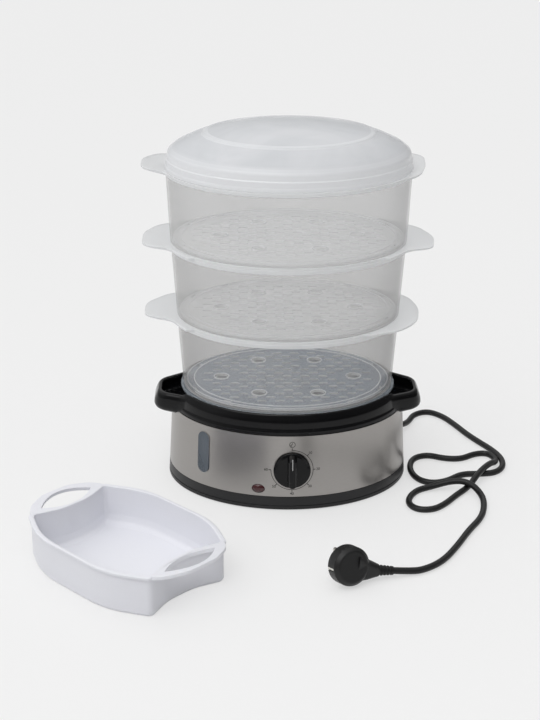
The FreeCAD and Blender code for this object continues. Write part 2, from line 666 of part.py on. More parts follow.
def bowl_grip():
    """Raised hand-hold at one end: a tilted plate with a lens-shaped opening."""
    rim = plate([(78, 50.6), (78, -50.6), (95.5, -38.6, 30), (105.4, -16, 24), (105.4, 16, 24),
                 (95.5, 38.6, 30)], BOWL_H - 4.0, BOWL_H)
    tips = [V(87.5, 32, 30), V(87.5, -32, 30)]
    opening = Part.Wire([Part.Arc(tips[0], V(76.9, 0, 30), tips[1]).toShape(),
                         Part.Arc(tips[1], V(100.8, 0, 30), tips[0]).toShape()])
    lens = Part.Face(opening).extrude(V(0, 0, 20))
    return rim.cut(lens).rotated(V(82, 0, BOWL_H), V(0, 1, 0), -7.5)


def rice_bowl():
    """White bowl: upright wall, rim, two grips, and an inside that rounds into the floor."""
    body = Part.makeLoft([bowl_outline(1.2, 0), bowl_outline(0.0, 2.0),
                          bowl_outline(0.0, BOWL_H - 1)], True, True)
    rim = Part.Face(bowl_outline(-2.0, BOWL_H - 3.6)).extrude(V(0, 0, 3.6))
    grips = [grip.cut(body) for grip in both_sides(bowl_grip())]
    inside = Part.makeLoft([bowl_outline(10.0, 2.6), bowl_outline(5.6, 5.4), bowl_outline(3.4, 12.0),
                            bowl_outline(BOWL_WALL, BOWL_H + 6)], True, True)
    bowl = body.multiFuse([rim] + grips).cut(inside)
    return bowl.rotated(V(0, 0, 0), UP, BOWL_TURN).translated(BOWL_PLACE)


NODES = {
    "base_shell": base_shell,
    "bottom_cover": bottom_cover,
    "rubber_feet": rubber_feet,
    "cover_screws": cover_screws,
    "steel_band": steel_band,
    "upper_housing": upper_housing,
    "heating_element": heating_element,
    "heater_gasket": heater_gasket,
    "heater_clamp": heater_clamp,
    "thermal_cutout": thermal_cutout,
    "steam_ring": steam_ring,
    "drip_tray": drip_tray,
    "lid": lid,
    "timer_unit": timer_unit,
    "timer_bell": timer_bell,
    "timer_screws": timer_screws,
    "timer_shaft": timer_shaft,
    "timer_knob": timer_knob,
    "gauge_window": gauge_window,
    "gauge_gasket": gauge_gasket,
    "indicator_lens": indicator_lens,
    "indicator_lamp": indicator_lamp,
    "strain_relief": strain_relief,
    "cord_clamp": cord_clamp,
    "terminal_block": terminal_block,
    "power_cord": power_cord,
    "plug_body": plug_body,
    "plug_pins": plug_pins,
    "plug_earth_contacts": plug_earth_contacts,
    "rice_bowl": rice_bowl,
}


def main():
    """Build every node and write its STEP file."""
    os.makedirs(OUT, exist_ok=True)
    for name, make in NODES.items():
        save(name, make())
    for k, tier in enumerate(TIER_NAMES):
        save("basket_" + tier, basket(k))
        save("grid_" + tier, grid(k))


main()
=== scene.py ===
"""Looks of an electric food steamer: oval base, three clear baskets, lid, rice bowl and lead.

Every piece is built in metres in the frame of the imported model: +Z up, -Y front, the origin on
the table under the middle of the base. Sizes in the classes are millimetres, as a maker gives them.
"""

from __future__ import annotations

import json
import logging
import math
from dataclasses import dataclass
from enum import Enum
from typing import Callable, Iterable, Protocol, Sequence, Union

import bmesh
import bpy
from mathutils import Matrix, Vector

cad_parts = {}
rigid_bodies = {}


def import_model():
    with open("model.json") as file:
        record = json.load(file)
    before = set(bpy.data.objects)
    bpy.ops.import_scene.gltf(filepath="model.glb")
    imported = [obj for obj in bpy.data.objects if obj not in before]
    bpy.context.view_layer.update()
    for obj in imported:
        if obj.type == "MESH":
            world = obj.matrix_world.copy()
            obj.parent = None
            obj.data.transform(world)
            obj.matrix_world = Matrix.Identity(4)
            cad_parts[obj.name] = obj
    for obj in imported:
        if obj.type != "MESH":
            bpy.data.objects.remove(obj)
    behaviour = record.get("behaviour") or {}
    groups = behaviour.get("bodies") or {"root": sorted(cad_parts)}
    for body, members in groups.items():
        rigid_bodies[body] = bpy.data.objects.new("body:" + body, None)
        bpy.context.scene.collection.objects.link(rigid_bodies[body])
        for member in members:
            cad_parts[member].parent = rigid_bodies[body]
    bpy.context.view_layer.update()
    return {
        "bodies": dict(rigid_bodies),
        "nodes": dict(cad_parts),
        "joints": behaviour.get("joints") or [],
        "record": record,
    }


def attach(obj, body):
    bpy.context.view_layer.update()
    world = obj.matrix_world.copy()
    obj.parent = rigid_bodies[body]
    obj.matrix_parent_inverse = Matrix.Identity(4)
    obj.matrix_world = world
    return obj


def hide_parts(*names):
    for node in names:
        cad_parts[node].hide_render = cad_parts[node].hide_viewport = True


LOG = logging.getLogger("steamer")

TURN = 2.0 * math.pi
MM = 0.001  # metres in a millimetre
ASPECT = 0.815  # width of the steamer's oval over its length
CREASE = 35.0  # degrees past which an edge stays sharp
WELD = 1e-6  # metres under which points are merged
SUNK = 0.02  # millimetres by which a rib stands in its plate
FROST = "frost"  # attribute that says how frosted a face is
SPIN = "turn"  # attribute that says how far a copy is turned about Z

Corner = tuple[float, ...]
Point2 = tuple[float, float]
Point3 = tuple[float, float, float]
Spot = tuple[float, float, float, float]
Colour = tuple[float, float, float]
Piece = bpy.types.Object
Socket = bpy.types.NodeSocket
Feed = Union[Socket, float, str, Sequence[float]]


# ---------------------------------------------------------------- shared sizes
@dataclass(frozen=True)
class BandLine:
    """The steel band's outer surface, from its foot to its top, in millimetres."""

    foot_z: float = 15.35
    top_z: float = 80.5
    foot_a: float = 124.5
    top_a: float = 120.9

    @property
    def slope(self) -> float:
        """Change of half-length for each millimetre of height."""
        return (self.top_a - self.foot_a) / (self.top_z - self.foot_z)

    def reach(self, z: float) -> float:
        """Half-length of the band at a height."""
        return self.foot_a + (z - self.foot_z) * self.slope

    def frame(self, x: float, z: float) -> Matrix:
        """Frame on the band's front.

        Args:
            x: Place across the front.
            z: Height above the table.

        Returns:
            A matrix, still in millimetres, whose Z points out of the band and whose Y runs up it.
        """
        a = self.reach(z)
        b = a * ASPECT
        y = -b * math.sqrt(1.0 - (x / a) ** 2)
        outward = Vector((x / a**2, y / b**2, -self.slope / a)).normalized()
        across = Vector((0.0, 0.0, 1.0)).cross(outward).normalized()
        return axes_frame(Vector((x, y, z)), across, outward)


@dataclass(frozen=True)
class TierSize:
    """One steam basket: its half-lengths at shoulder, neck and flange, and where it rests."""

    name: str
    shoulder: float
    neck: float
    flange: float
    rest: float
    height: float = 76.9

    @property
    def top(self) -> float:
        """Height of the flange's upper face."""
        return self.rest + self.height


TIERS = (
    TierSize("bottom", 108.6, 113.6, 115.4, 101.6),
    TierSize("middle", 114.0, 118.7, 120.3, 178.8),
    TierSize("top", 119.6, 122.8, 124.0, 256.0),
)
BAND = BandLine()

# Places on the band's front, as across and up.
GAUGE_SPOT = (-86.7, 51.3)
KNOB_SPOT = (2.4, 44.4)


# ---------------------------------------------------------------- mesh helpers
def axes_frame(origin: Vector, across: Vector, outward: Vector) -> Matrix:
    """Matrix of a frame.

    Args:
        origin: Its place.
        across: Its X axis.
        outward: Its Z axis.

    Returns:
        The matrix.
    """
    z = outward.normalized()
    x = across.normalized()
    y = z.cross(x)
    rows = [(x[i], y[i], z[i], origin[i]) for i in range(3)]
    return Matrix((*rows, (0.0, 0.0, 0.0, 1.0)))


def rounded(corners: Sequence[Corner], closed: bool = True, steps: int = 5) -> list[Point2]:
    """Polyline with its corners rounded.

    Args:
        corners: Points as (u, v) or (u, v, radius).
        closed: Whether the last point joins the first.
        steps: Pieces in each rounded corner.

    Returns:
        The points of the outline, in order.
    """
    most = 0.499  # share of a side that one corner may use
    result: list[Point2] = []
    count = len(corners)
    for i, corner in enumerate(corners):
        here = Vector(corner[:2])
        radius = corner[2] if len(corner) > 2 else 0.0
        if radius <= 0.0 or (not closed and i in (0, count - 1)):
            result.append((here.x, here.y))
            continue
        back = Vector(corners[i - 1][:2]) - here
        ahead = Vector(corners[(i + 1) % count][:2]) - here
        turn = math.pi - back.angle(ahead)
        reach = min(radius * math.tan(turn / 2.0), most * back.length, most * ahead.length)
        start = here + back.normalized() * reach
        end = here + ahead.normalized() * reach
        for k in range(steps + 1):
            s = k / steps
            point = start * (1 - s) ** 2 + here * (2 * s * (1 - s)) + end * s**2
            result.append((point.x, point.y))
    return result


def mesh_piece(name: str, mesh: bpy.types.Mesh) -> Piece:
    """New object for a mesh, linked to the scene.

    Args:
        name: Name of the piece.
        mesh: Its mesh.

    Returns:
        The object.
    """
    piece = bpy.data.objects.new(name, mesh)
    bpy.context.scene.collection.objects.link(piece)
    return piece


def bare_piece(bm: bmesh.types.BMesh, name: str) -> Piece:
    """New object for a bmesh, left as it is.

    Args:
        bm: The mesh, freed here.
        name: Name of the piece.

    Returns:
        The object.
    """
    mesh = bpy.data.meshes.new(name)
    bm.to_mesh(mesh)
    bm.free()
    return mesh_piece(name, mesh)


def smooth(mesh: bpy.types.Mesh, crease: float) -> None:
    """Shade a mesh smooth, but for edges sharper than the crease in degrees."""
    mesh.shade_smooth()
    mesh.set_sharp_from_angle(angle=math.radians(crease))


def ring_surface(
    rings: Sequence[Sequence[Vector]], closed: bool, name: str, crease: float = CREASE,
    cap_ends: bool = False,
) -> Piece:
    """Surface through rings of points, smooth-shaded and with its faces outwards.

    Args:
        rings: Closed rings in millimetres with the same number of points each.
        closed: Whether the last ring joins the first, as for a section that closes on itself.
        name: Name of the piece.
        crease: Angle past which an edge stays sharp, in degrees.
        cap_ends: Whether the first and last rings are filled.

    Returns:
        The new object.
    """
    bm = bmesh.new()
    rows = [[bm.verts.new(point * MM) for point in ring] for ring in rings]
    count = len(rows[0])
    last = len(rows) if closed else len(rows) - 1
    for i in range(last):
        lower, upper = rows[i], rows[(i + 1) % len(rows)]
        for j in range(count):
            k = (j + 1) % count
            bm.faces.new((lower[j], lower[k], upper[k], upper[j]))
    if cap_ends:
        bm.faces.new(rows[0])
        bm.faces.new(list(reversed(rows[-1])))
    bmesh.ops.remove_doubles(bm, verts=bm.verts, dist=WELD)
    bmesh.ops.dissolve_degenerate(bm, dist=WELD, edges=bm.edges)
    bmesh.ops.recalc_face_normals(bm, faces=bm.faces)
    piece = bare_piece(bm, name)
    smooth(piece.data, crease)
    return piece


def circle(centre: Point2, radius: float, count: int) -> list[Point2]:
    """Points of a full circle, anticlockwise from +X."""
    turns = [TURN * k / count for k in range(count)]
    return [(centre[0] + radius * math.cos(t), centre[1] + radius * math.sin(t)) for t in turns]


def oval_ring(a: float, z: float, segments: int, aspect: float = ASPECT) -> list[Vector]:
    """Ring of points on an oval with half-length a, at the height z."""
    turns = [TURN * j / segments for j in range(segments)]
    return [Vector((a * math.cos(t), aspect * a * math.sin(t), z)) for t in turns]


def oval_shell(
    corners: Sequence[Corner], name: str, segments: int = 240, aspect: float = ASPECT,
    crease: float = CREASE, steps: int = 5,
) -> Piece:
    """Closed section turned about Z and narrowed along Y.

    Args:
        corners: The section as (half-length, height) or (half-length, height, radius).
        name: Name of the piece.
        segments: Points round the oval.
        aspect: Width of the oval over its length.
        crease: Angle past which an edge stays sharp, in degrees.
        steps: Pieces in each rounded corner.

    Returns:
        The new object.
    """
    section = rounded(corners, steps=steps)
    rings = [oval_ring(max(r, 0.0), z, segments, aspect) for r, z in section]
    return ring_surface(rings, True, name, crease)


def prism(outline: Sequence[Point2], z0: float, z1: float, name: str = "prism") -> Piece:
    """Upright solid with a plan outline in millimetres."""
    rings = [[Vector((x, y, z)) for x, y in outline] for z in (z0, z1)]
    return ring_surface(rings, False, name, cap_ends=True)


def pill_outline(
    width: float, height: float, up: float = 0.0, taper: float = 0.0, steps: int = 14
) -> list[Point2]:
    """Upright outline with half-round ends.

    Args:
        width: Its width at the head.
        height: Its height.
        up: How far its middle stands over the origin.
        taper: By how much the foot's half-width is less.
        steps: Pieces in each end.

    Returns:
        The points, from the head's right side over it and round the foot.
    """
    head = width / 2.0
    foot = head - taper
    top = height / 2.0 - head + up
    low = -height / 2.0 + foot + up
    turns = [math.pi * k / steps for k in range(steps + 1)]
    points = [(head * math.cos(t), top + head * math.sin(t)) for t in turns]
    return points + [(-foot * math.cos(t), low - foot * math.sin(t)) for t in turns]


def moved(piece: Piece, place: Matrix) -> Piece:
    """Carry a piece made about the origin into a frame.

    Args:
        piece: The piece.
        place: The frame, in millimetres.

    Returns:
        The same piece.
    """
    metres = place.copy()
    metres.translation = place.translation * MM
    piece.data.transform(metres)
    return piece


def joined(pieces: Sequence[Piece], name: str) -> Piece:
    """One piece from several, whose meshes stay as they are.

    Args:
        pieces: The pieces, which are used up.
        name: Name of the new piece.

    Returns:
        The new piece.
    """
    bm = bmesh.new()
    for piece in pieces:
        bm.from_mesh(piece.data)
    whole = bare_piece(bm, name)
    for piece in pieces:
        scrap(piece)
    return whole


def scrap(piece: Piece) -> None:
    """Remove a helper piece and its mesh.

    Args:
        piece: The helper piece.
    """
    mesh = piece.data
    bpy.data.objects.remove(piece)
    if mesh.users == 0:
        bpy.data.meshes.remove(mesh)


def evaluated_mesh(piece: Piece) -> bpy.types.Mesh:
    """Plain mesh of an object as its modifiers leave it.

    Args:
        piece: The object.

    Returns:
        The mesh.
    """
    bpy.context.view_layer.update()
    graph = bpy.context.evaluated_depsgraph_get()
    return bpy.data.meshes.new_from_object(piece.evaluated_get(graph), depsgraph=graph)


def settled(piece: Piece) -> Piece:
    """Bake a piece's modifiers into its mesh.

    Args:
        piece: The piece whose modifiers are done.

    Returns:
        The same piece with a plain mesh.
    """
    mesh = evaluated_mesh(piece)
    old = piece.data
    piece.modifiers.clear()
    piece.data = mesh
    mesh.name = piece.name
    bpy.data.meshes.remove(old)
    return piece


class Bool(Enum):
    """How a helper solid meets a piece."""

    CUT = "DIFFERENCE"
    ADD = "UNION"
    KEEP = "INTERSECT"


def combine(piece: Piece, others: Iterable[Piece], how: Bool, crease: float = CREASE) -> Piece:
    """Cut from, add to or keep part of a piece with helper solids.

    Args:
        piece: The piece.
        others: The helper solids, which are used up.
        how: How they meet the piece.
        crease: Angle past which an edge stays sharp, in degrees.

    Returns:
        The same piece.
    """
    helpers = list(others)
    for helper in helpers:
        modifier = piece.modifiers.new("combine", "BOOLEAN")
        modifier.operation = how.value
        modifier.solver = "EXACT"
        modifier.object = helper
    smooth(settled(piece).data, crease)
    for helper in helpers:
        scrap(helper)
    return piece


def remeshed(piece: Piece, voxel: float, smoothing: int, factor: float = 0.5) -> Piece:
    """Melt a piece's solids into one moulding with soft edges.

    Args:
        piece: The piece, with solids that may run through each other.
        voxel: Size of the remesh in millimetres.
        smoothing: Rounds of smoothing, which soften the edges.
        factor: Strength of each round.

    Returns:
        The same piece with its new mesh.
    """
    remesh = piece.modifiers.new("remesh", "REMESH")
    remesh.mode = "VOXEL"
    remesh.voxel_size = voxel * MM
    remesh.use_smooth_shade = True
    soften = piece.modifiers.new("soften", "SMOOTH")
    soften.factor = factor
    soften.iterations = smoothing
    settled(piece).data.shade_smooth()
    return piece


# ---------------------------------------------------------------- plan outlines
def segment_distance(p: Vector, a: Vector, b: Vector) -> float:
    """Distance of a plan point from a segment.

    Args:
        p: The point.
        a: Start of the segment.
        b: Its end.

    Returns:
        The distance.
    """
    along = b - a
    s = max(0.0, min(1.0, (p - a).dot(along) / along.length_squared))
    return (p - (a + along * s)).length


def soft_union(first: float, second: float, blend: float) -> float:
    """Smallest of two signed distances, with a fillet of about the blend."""
    h = max(0.0, min(1.0, 0.5 + 0.5 * (second - first) / blend))
    return second * (1.0 - h) + first * h - blend * h * (1.0 - h)


@dataclass(frozen=True)
class EaredOval:
    """Oval outline with an ear at each end, filleted where they meet.

    The distance from the oval is scaled by side_scale, and by end_scale more towards its ends.
    The outline is searched for between two shares of the half-length, in halving rounds.
    """

    a: float
    right: TabOutline
    left: TabOutline
    blend: float
    side_scale: float = 0.91
    end_scale: float = 0.09
    least: float = 1e-6
    search: Point2 = (0.6, 1.6)
    rounds: int = 34

    def distance(self, p: Vector) -> float:
        """Rough signed distance of a plan point from the outline, negative inside.

        Args:
            p: The point.

        Returns:
            The distance.
        """
        q = Vector((p.x, p.y / ASPECT))
        scale = self.side_scale + self.end_scale * abs(q.x) / max(q.length, self.least)
        oval = (q.length - self.a) * scale
        ear = self.right.distance(p) if p.x > 0.0 else self.left.distance(Vector((-p.x, p.y)))
        return soft_union(oval, ear, self.blend)

    def reach(self, t: float) -> float:
        """How far out the outline is, over the oval's unit ray.

        Args:
            t: The oval's parameter.

        Returns:
            The half-length of the oval through that point of the outline.
        """
        ray = Vector((math.cos(t), ASPECT * math.sin(t)))
        low, high = (share * self.a for share in self.search)
        for _ in range(self.rounds):
            middle = 0.5 * (low + high)
            if self.distance(ray * middle) < 0.0:
                low = middle
            else:
                high = middle
        return low


# ---------------------------------------------------------------- node trees
class Mixed(Enum):
    """What a Mix node mixes, with the places of its two inputs and of its output."""

    COLOURS = ("RGBA", 6, 7, 2)
    NUMBERS = ("FLOAT", 2, 3, 0)


class TreeKind(Enum):
    """What a shared node tree is for."""

    SHADER = "ShaderNodeTree"
    GEOMETRY = "GeometryNodeTree"


class NodeTree:
    """Small builder for a node tree. A feed is the socket or the value that an input takes."""

    def __init__(self, tree: bpy.types.NodeTree) -> None:
        """Start on a tree."""
        self.tree = tree

    def feed(self, into: Socket, feed: Feed) -> None:
        """Link an input to a socket, or set it to a value.

        Args:
            into: The input.
            feed: The socket or the value.
        """
        if isinstance(feed, Socket):
            self.tree.links.new(feed, into)
        else:
            into.default_value = feed

    def add(self, kind: str, *feeds: tuple[str | int, Feed], **values: object) -> bpy.types.Node:
        """Add a node.

        Args:
            kind: Full type name of the node.
            *feeds: Pairs of an input and what feeds it.
            **values: Properties, or inputs named with underscores for spaces, and their values.

        Returns:
            The node.
        """
        node = self.tree.nodes.new(kind)
        for key, value in values.items():
            title = key.replace("_", " ")
            if title in node.inputs:
                node.inputs[title].default_value = value
            else:
                setattr(node, key, value)
        for into, feed in feeds:
            self.feed(node.inputs[into], feed)
        return node

    def sum(self, operation: str, first: Feed, second: Feed, clamp: bool = False) -> Socket:
        """Two numbers put through an operation such as MULTIPLY, between 0 and 1 if clamped."""
        kind, feeds = "ShaderNodeMath", ((0, first), (1, second))
        return self.add(kind, *feeds, operation=operation, use_clamp=clamp).outputs["Value"]

    def spread(
        self, value: Feed, start: Sequence[Feed] = (0.0, 1.0), end: Sequence[Feed] = (0.0, 1.0),
        **values: object,
    ) -> Socket:
        """Number carried from one range into another.

        Args:
            value: The number.
            start: The two ends of its range.
            end: What they become.
            **values: Further properties.

        Returns:
            The result.
        """
        titles = ("Value", "From Min", "From Max", "To Min", "To Max")
        feeds = zip(titles, (value, *start, *end))
        return self.add("ShaderNodeMapRange", *feeds, **values).outputs["Result"]

    def mix(self, what: Mixed, share: Feed, first: Feed, second: Feed, **values: object) -> Socket:
        """Two colours or numbers mixed.

        Args:
            what: Which of them.
            share: Share of the second.
            first: The first.
            second: The second.
            **values: Further properties.

        Returns:
            The result.
        """
        data_type, a, b, out = what.value
        feeds = ((0, share), (a, first), (b, second))
        return self.add("ShaderNodeMix", *feeds, data_type=data_type, **values).outputs[out]

    def bump(self, height: Feed, strength: float, distance: float) -> Socket:
        """Normal of a relief."""
        node = self.add("ShaderNodeBump", ("Height", height), Strength=strength, Distance=distance)
        return node.outputs["Normal"]

    def place(self) -> Socket:
        """Place on the piece, as Object coordinates."""
        return self.add("ShaderNodeTexCoord").outputs["Object"]


class SharedTree(NodeTree):
    """Builder for a shared tree with named inputs and outputs."""

    def __init__(self, name: str, kind: TreeKind) -> None:
        """Start an empty tree.

        Args:
            name: Name of the tree.
            kind: What it is for.
        """
        super().__init__(bpy.data.node_groups.new(name, kind.value))
        self.enter = self.tree.nodes.new("NodeGroupInput")
        self.leave = self.tree.nodes.new("NodeGroupOutput")

    def input(self, title: str, kind: str, default: object = None) -> Socket:
        """Add a named input.

        Args:
            title: Its name.
            kind: What it takes, such as Float.
            default: Its value where none is given, or None.

        Returns:
            Its socket inside the tree.
        """
        socket = self.tree.interface.new_socket(
            name=title, in_out="INPUT", socket_type="NodeSocket" + kind
        )
        if default is not None:
            socket.default_value = default
        return self.enter.outputs[title]

    def output(self, title: str, kind: str, result: Socket) -> None:
        """Add a named output of a kind such as Float, which gives the result."""
        self.tree.interface.new_socket(name=title, in_out="OUTPUT", socket_type="NodeSocket" + kind)
        self.feed(self.leave.inputs[title], result)


class MaterialTree(NodeTree):
    """Builder for one material around its Principled shader."""

    def __init__(self, name: str) -> None:
        """Start a material.

        Args:
            name: Name of the material.
        """
        self.material = bpy.data.materials.new(name)
        self.material.use_nodes = True
        super().__init__(self.material.node_tree)
        self.shader = self.tree.nodes["Principled BSDF"]

    def group(self, tree: bpy.types.ShaderNodeTree, **feeds: Feed) -> bpy.types.Node:
        """Place a shared tree with this material's values.

        Args:
            tree: The shared tree.
            **feeds: What feeds its inputs.

        Returns:
            The group's node.
        """
        node = self.tree.nodes.new("ShaderNodeGroup")
        node.node_tree = tree
        for title, feed in feeds.items():
            self.feed(node.inputs[title], feed)
        return node

    def shade(self, **feeds: Feed) -> None:
        """Link or set the Principled shader's own sockets, named with underscores for spaces."""
        for key, feed in feeds.items():
            self.feed(self.shader.inputs[key.replace("_", " ")], feed)


# ---------------------------------------------------------------- finishes
def opaque(colour: Colour) -> tuple[float, float, float, float]:
    """The colour with full alpha."""
    return (*colour, 1.0)


class ShaderGroups:
    """The shader groups that more than one finish uses, each built once."""

    def __init__(self) -> None:
        """Build all of the groups."""
        self.grain = self._grain()
        self.cloud = self._cloud()

    @staticmethod
    def _grain() -> bpy.types.ShaderNodeTree:
        """Fine grain and handling marks, stretched as asked.

        The inputs are Scale, Stretch, Low and High roughness and Marks.

        Returns:
            The group, with the outputs Height and Roughness.
        """
        group = SharedTree("surface grain", TreeKind.SHADER)
        scale = group.input("Scale", "Float", 900.0)
        stretch = group.input("Stretch", "Vector", (1.0, 1.0, 1.0))
        low = group.input("Low", "Float", 0.3)
        high = group.input("High", "Float", 0.4)
        marks = group.input("Marks", "Float", 0.1)
        place = group.place()
        drawn = group.add("ShaderNodeMapping", ("Vector", place), ("Scale", stretch))
        fine = group.add(
            "ShaderNodeTexNoise", ("Vector", drawn.outputs["Vector"]), ("Scale", scale),
            Detail=3.0, Roughness=0.6,
        )
        worn = group.add(
            "ShaderNodeTexNoise", ("Vector", place),
            Scale=38.0, Detail=5.0, Roughness=0.62, Distortion=0.8,
        )
        share = group.sum("MULTIPLY", group.spread(worn.outputs["Fac"], (0.48, 0.7)), marks)
        whole = group.sum("ADD", fine.outputs["Fac"], share, clamp=True)
        group.output("Height", "Float", fine.outputs["Fac"])
        group.output("Roughness", "Float", group.spread(whole, end=(low, high)))
        return group.tree

    @staticmethod
    def _cloud() -> bpy.types.ShaderNodeTree:
        """Cloudiness of moulded clear plastic: flow marks that shift the colour and the alpha.

        The inputs are Clear and Cloudy colours, Thin and Thick alpha and Scale.

        Returns:
            The group, with the outputs Color, Alpha and Height.
        """
        group = SharedTree("moulding cloud", TreeKind.SHADER)
        clear = group.input("Clear", "Color", (0.7, 0.7, 0.7, 1.0))
        cloudy = group.input("Cloudy", "Color", (0.8, 0.8, 0.8, 1.0))
        thin = group.input("Thin", "Float", 0.4)
        thick = group.input("Thick", "Float", 0.5)
        scale = group.input("Scale", "Float", 14.0)
        cloud = group.add(
            "ShaderNodeTexNoise", ("Vector", group.place()), ("Scale", scale),
            Detail=3.0, Roughness=0.5, Distortion=0.6,
        )
        share = group.spread(cloud.outputs["Fac"], (0.35, 0.65))
        group.output("Color", "Color", group.mix(Mixed.COLOURS, share, clear, cloudy))
        group.output("Alpha", "Float", group.spread(share, end=(thin, thick)))
        group.output("Height", "Float", cloud.outputs["Fac"])
        return group.tree


@dataclass(frozen=True)
class SolidFinish:
    """Opaque finish with grain in its colour, roughness and bump.

    The grain runs from colour to shade and from the first roughness to the second.
    """

    name: str
    colour: Colour
    shade: Colour
    rough: tuple[float, float]
    metallic: float = 0.0
    coat: float = 0.0
    grain: float = 900.0
    stretch: Point3 = (1.0, 1.0, 1.0)
    marks: float = 0.2
    bump: float = 0.05
    depth: float = 0.0002
    specular: float = 0.5
    scatter: float = 0.0
    scatter_depth: float = 0.004

    def build(self, groups: ShaderGroups) -> bpy.types.Material:
        """Make the material.

        Args:
            groups: The shared shader groups.

        Returns:
            The material.
        """
        nodes = MaterialTree(self.name)
        low, high = self.rough
        grain = nodes.group(
            groups.grain, Scale=self.grain, Stretch=self.stretch, Low=low, High=high,
            Marks=self.marks,
        )
        height = grain.outputs["Height"]
        nodes.shade(
            Base_Color=nodes.mix(Mixed.COLOURS, height, opaque(self.colour), opaque(self.shade)),
            Roughness=grain.outputs["Roughness"],
            Normal=nodes.bump(height, self.bump, self.depth),
            Metallic=self.metallic,
            Coat_Weight=self.coat,
            Specular_IOR_Level=self.specular,
        )
        if self.scatter:
            nodes.shade(
                Subsurface_Weight=self.scatter, Subsurface_Radius=(1.0, 1.0, 1.0),
                Subsurface_Scale=self.scatter_depth,
            )
        return nodes.material


@dataclass(frozen=True)
class ClearFinish:
    """Moulded clear plastic, frosted where the piece's "frost" attribute says so, which on the
    lid's wall and on the grids' front faces also paints light.

    It hides more of what is behind it edge on, as edge_alpha and edge_power say. Below a height its
    colours are multiplied by low, a painted shade that darkens the piece towards the bottom, and
    its alpha by low_alpha, which fade out over the span of heights given with them, in metres. Only
    the share of shadow is left of its alpha in shadows and in diffuse light.
    """

    name: str
    clear: Colour
    cloudy: Colour
    alpha: tuple[float, float]
    edge_alpha: float
    edge_power: float = 2.4
    frost: Colour = (0.66, 0.665, 0.67)
    frost_alpha: float = 0.8
    # painted shade towards the bottom: its colour, the span of heights over which it fades, and how
    # much more opaque the piece grows there
    low: Colour = (1.0, 1.0, 1.0)
    low_span: tuple[float, float] = (0.0, 0.001)
    low_alpha: float = 1.0
    shadow: float = 0.2
    rough: float = 0.2
    scale: float = 14.0
    bump: float = 0.03
    depth: float = 0.001
    specular: float = 0.5

    def build(self, groups: ShaderGroups) -> bpy.types.Material:
        """Make the material.

        Args:
            groups: The shared shader groups.

        Returns:
            The material.
        """
        nodes = MaterialTree(self.name)
        thin, thick = self.alpha
        cloud = nodes.group(
            groups.cloud, Clear=opaque(self.clear), Cloudy=opaque(self.cloudy), Thin=thin,
            Thick=thick, Scale=self.scale,
        )
        place = nodes.add("ShaderNodeSeparateXYZ", ("Vector", nodes.place()))
        # painted shade: darker colour and higher alpha towards the bottom of the piece
        depth = nodes.spread(place.outputs["Z"], self.low_span[::-1])
        shaded_colour = nodes.mix(
            Mixed.COLOURS, depth, cloud.outputs["Color"], opaque(self.low), blend_type="MULTIPLY"
        )
        # frost: frosted faces, and on the lid's wall and the grids' front faces painted light
        frost = nodes.add("ShaderNodeAttribute", attribute_name=FROST).outputs["Fac"]
        facing = nodes.add("ShaderNodeLayerWeight", Blend=0.5)
        edge = nodes.sum("POWER", facing.outputs["Facing"], self.edge_power)
        denser = nodes.spread(depth, end=(1.0, self.low_alpha))
        body = nodes.sum("MULTIPLY", cloud.outputs["Alpha"], denser, clamp=True)
        plain = nodes.mix(Mixed.NUMBERS, edge, body, self.edge_alpha)
        whole = nodes.mix(Mixed.NUMBERS, frost, plain, self.frost_alpha)
        rays = nodes.add("ShaderNodeLightPath").outputs
        unseen = nodes.sum("MAXIMUM", rays["Is Shadow Ray"], rays["Is Diffuse Ray"])
        nodes.shade(
            Base_Color=nodes.mix(Mixed.COLOURS, frost, shaded_colour, opaque(self.frost)),
            Alpha=nodes.sum("MULTIPLY", whole, nodes.spread(unseen, end=(1.0, self.shadow))),
            Normal=nodes.bump(cloud.outputs["Height"], self.bump, self.depth),
            Roughness=self.rough,
            Specular_IOR_Level=self.specular,
        )
        return nodes.material


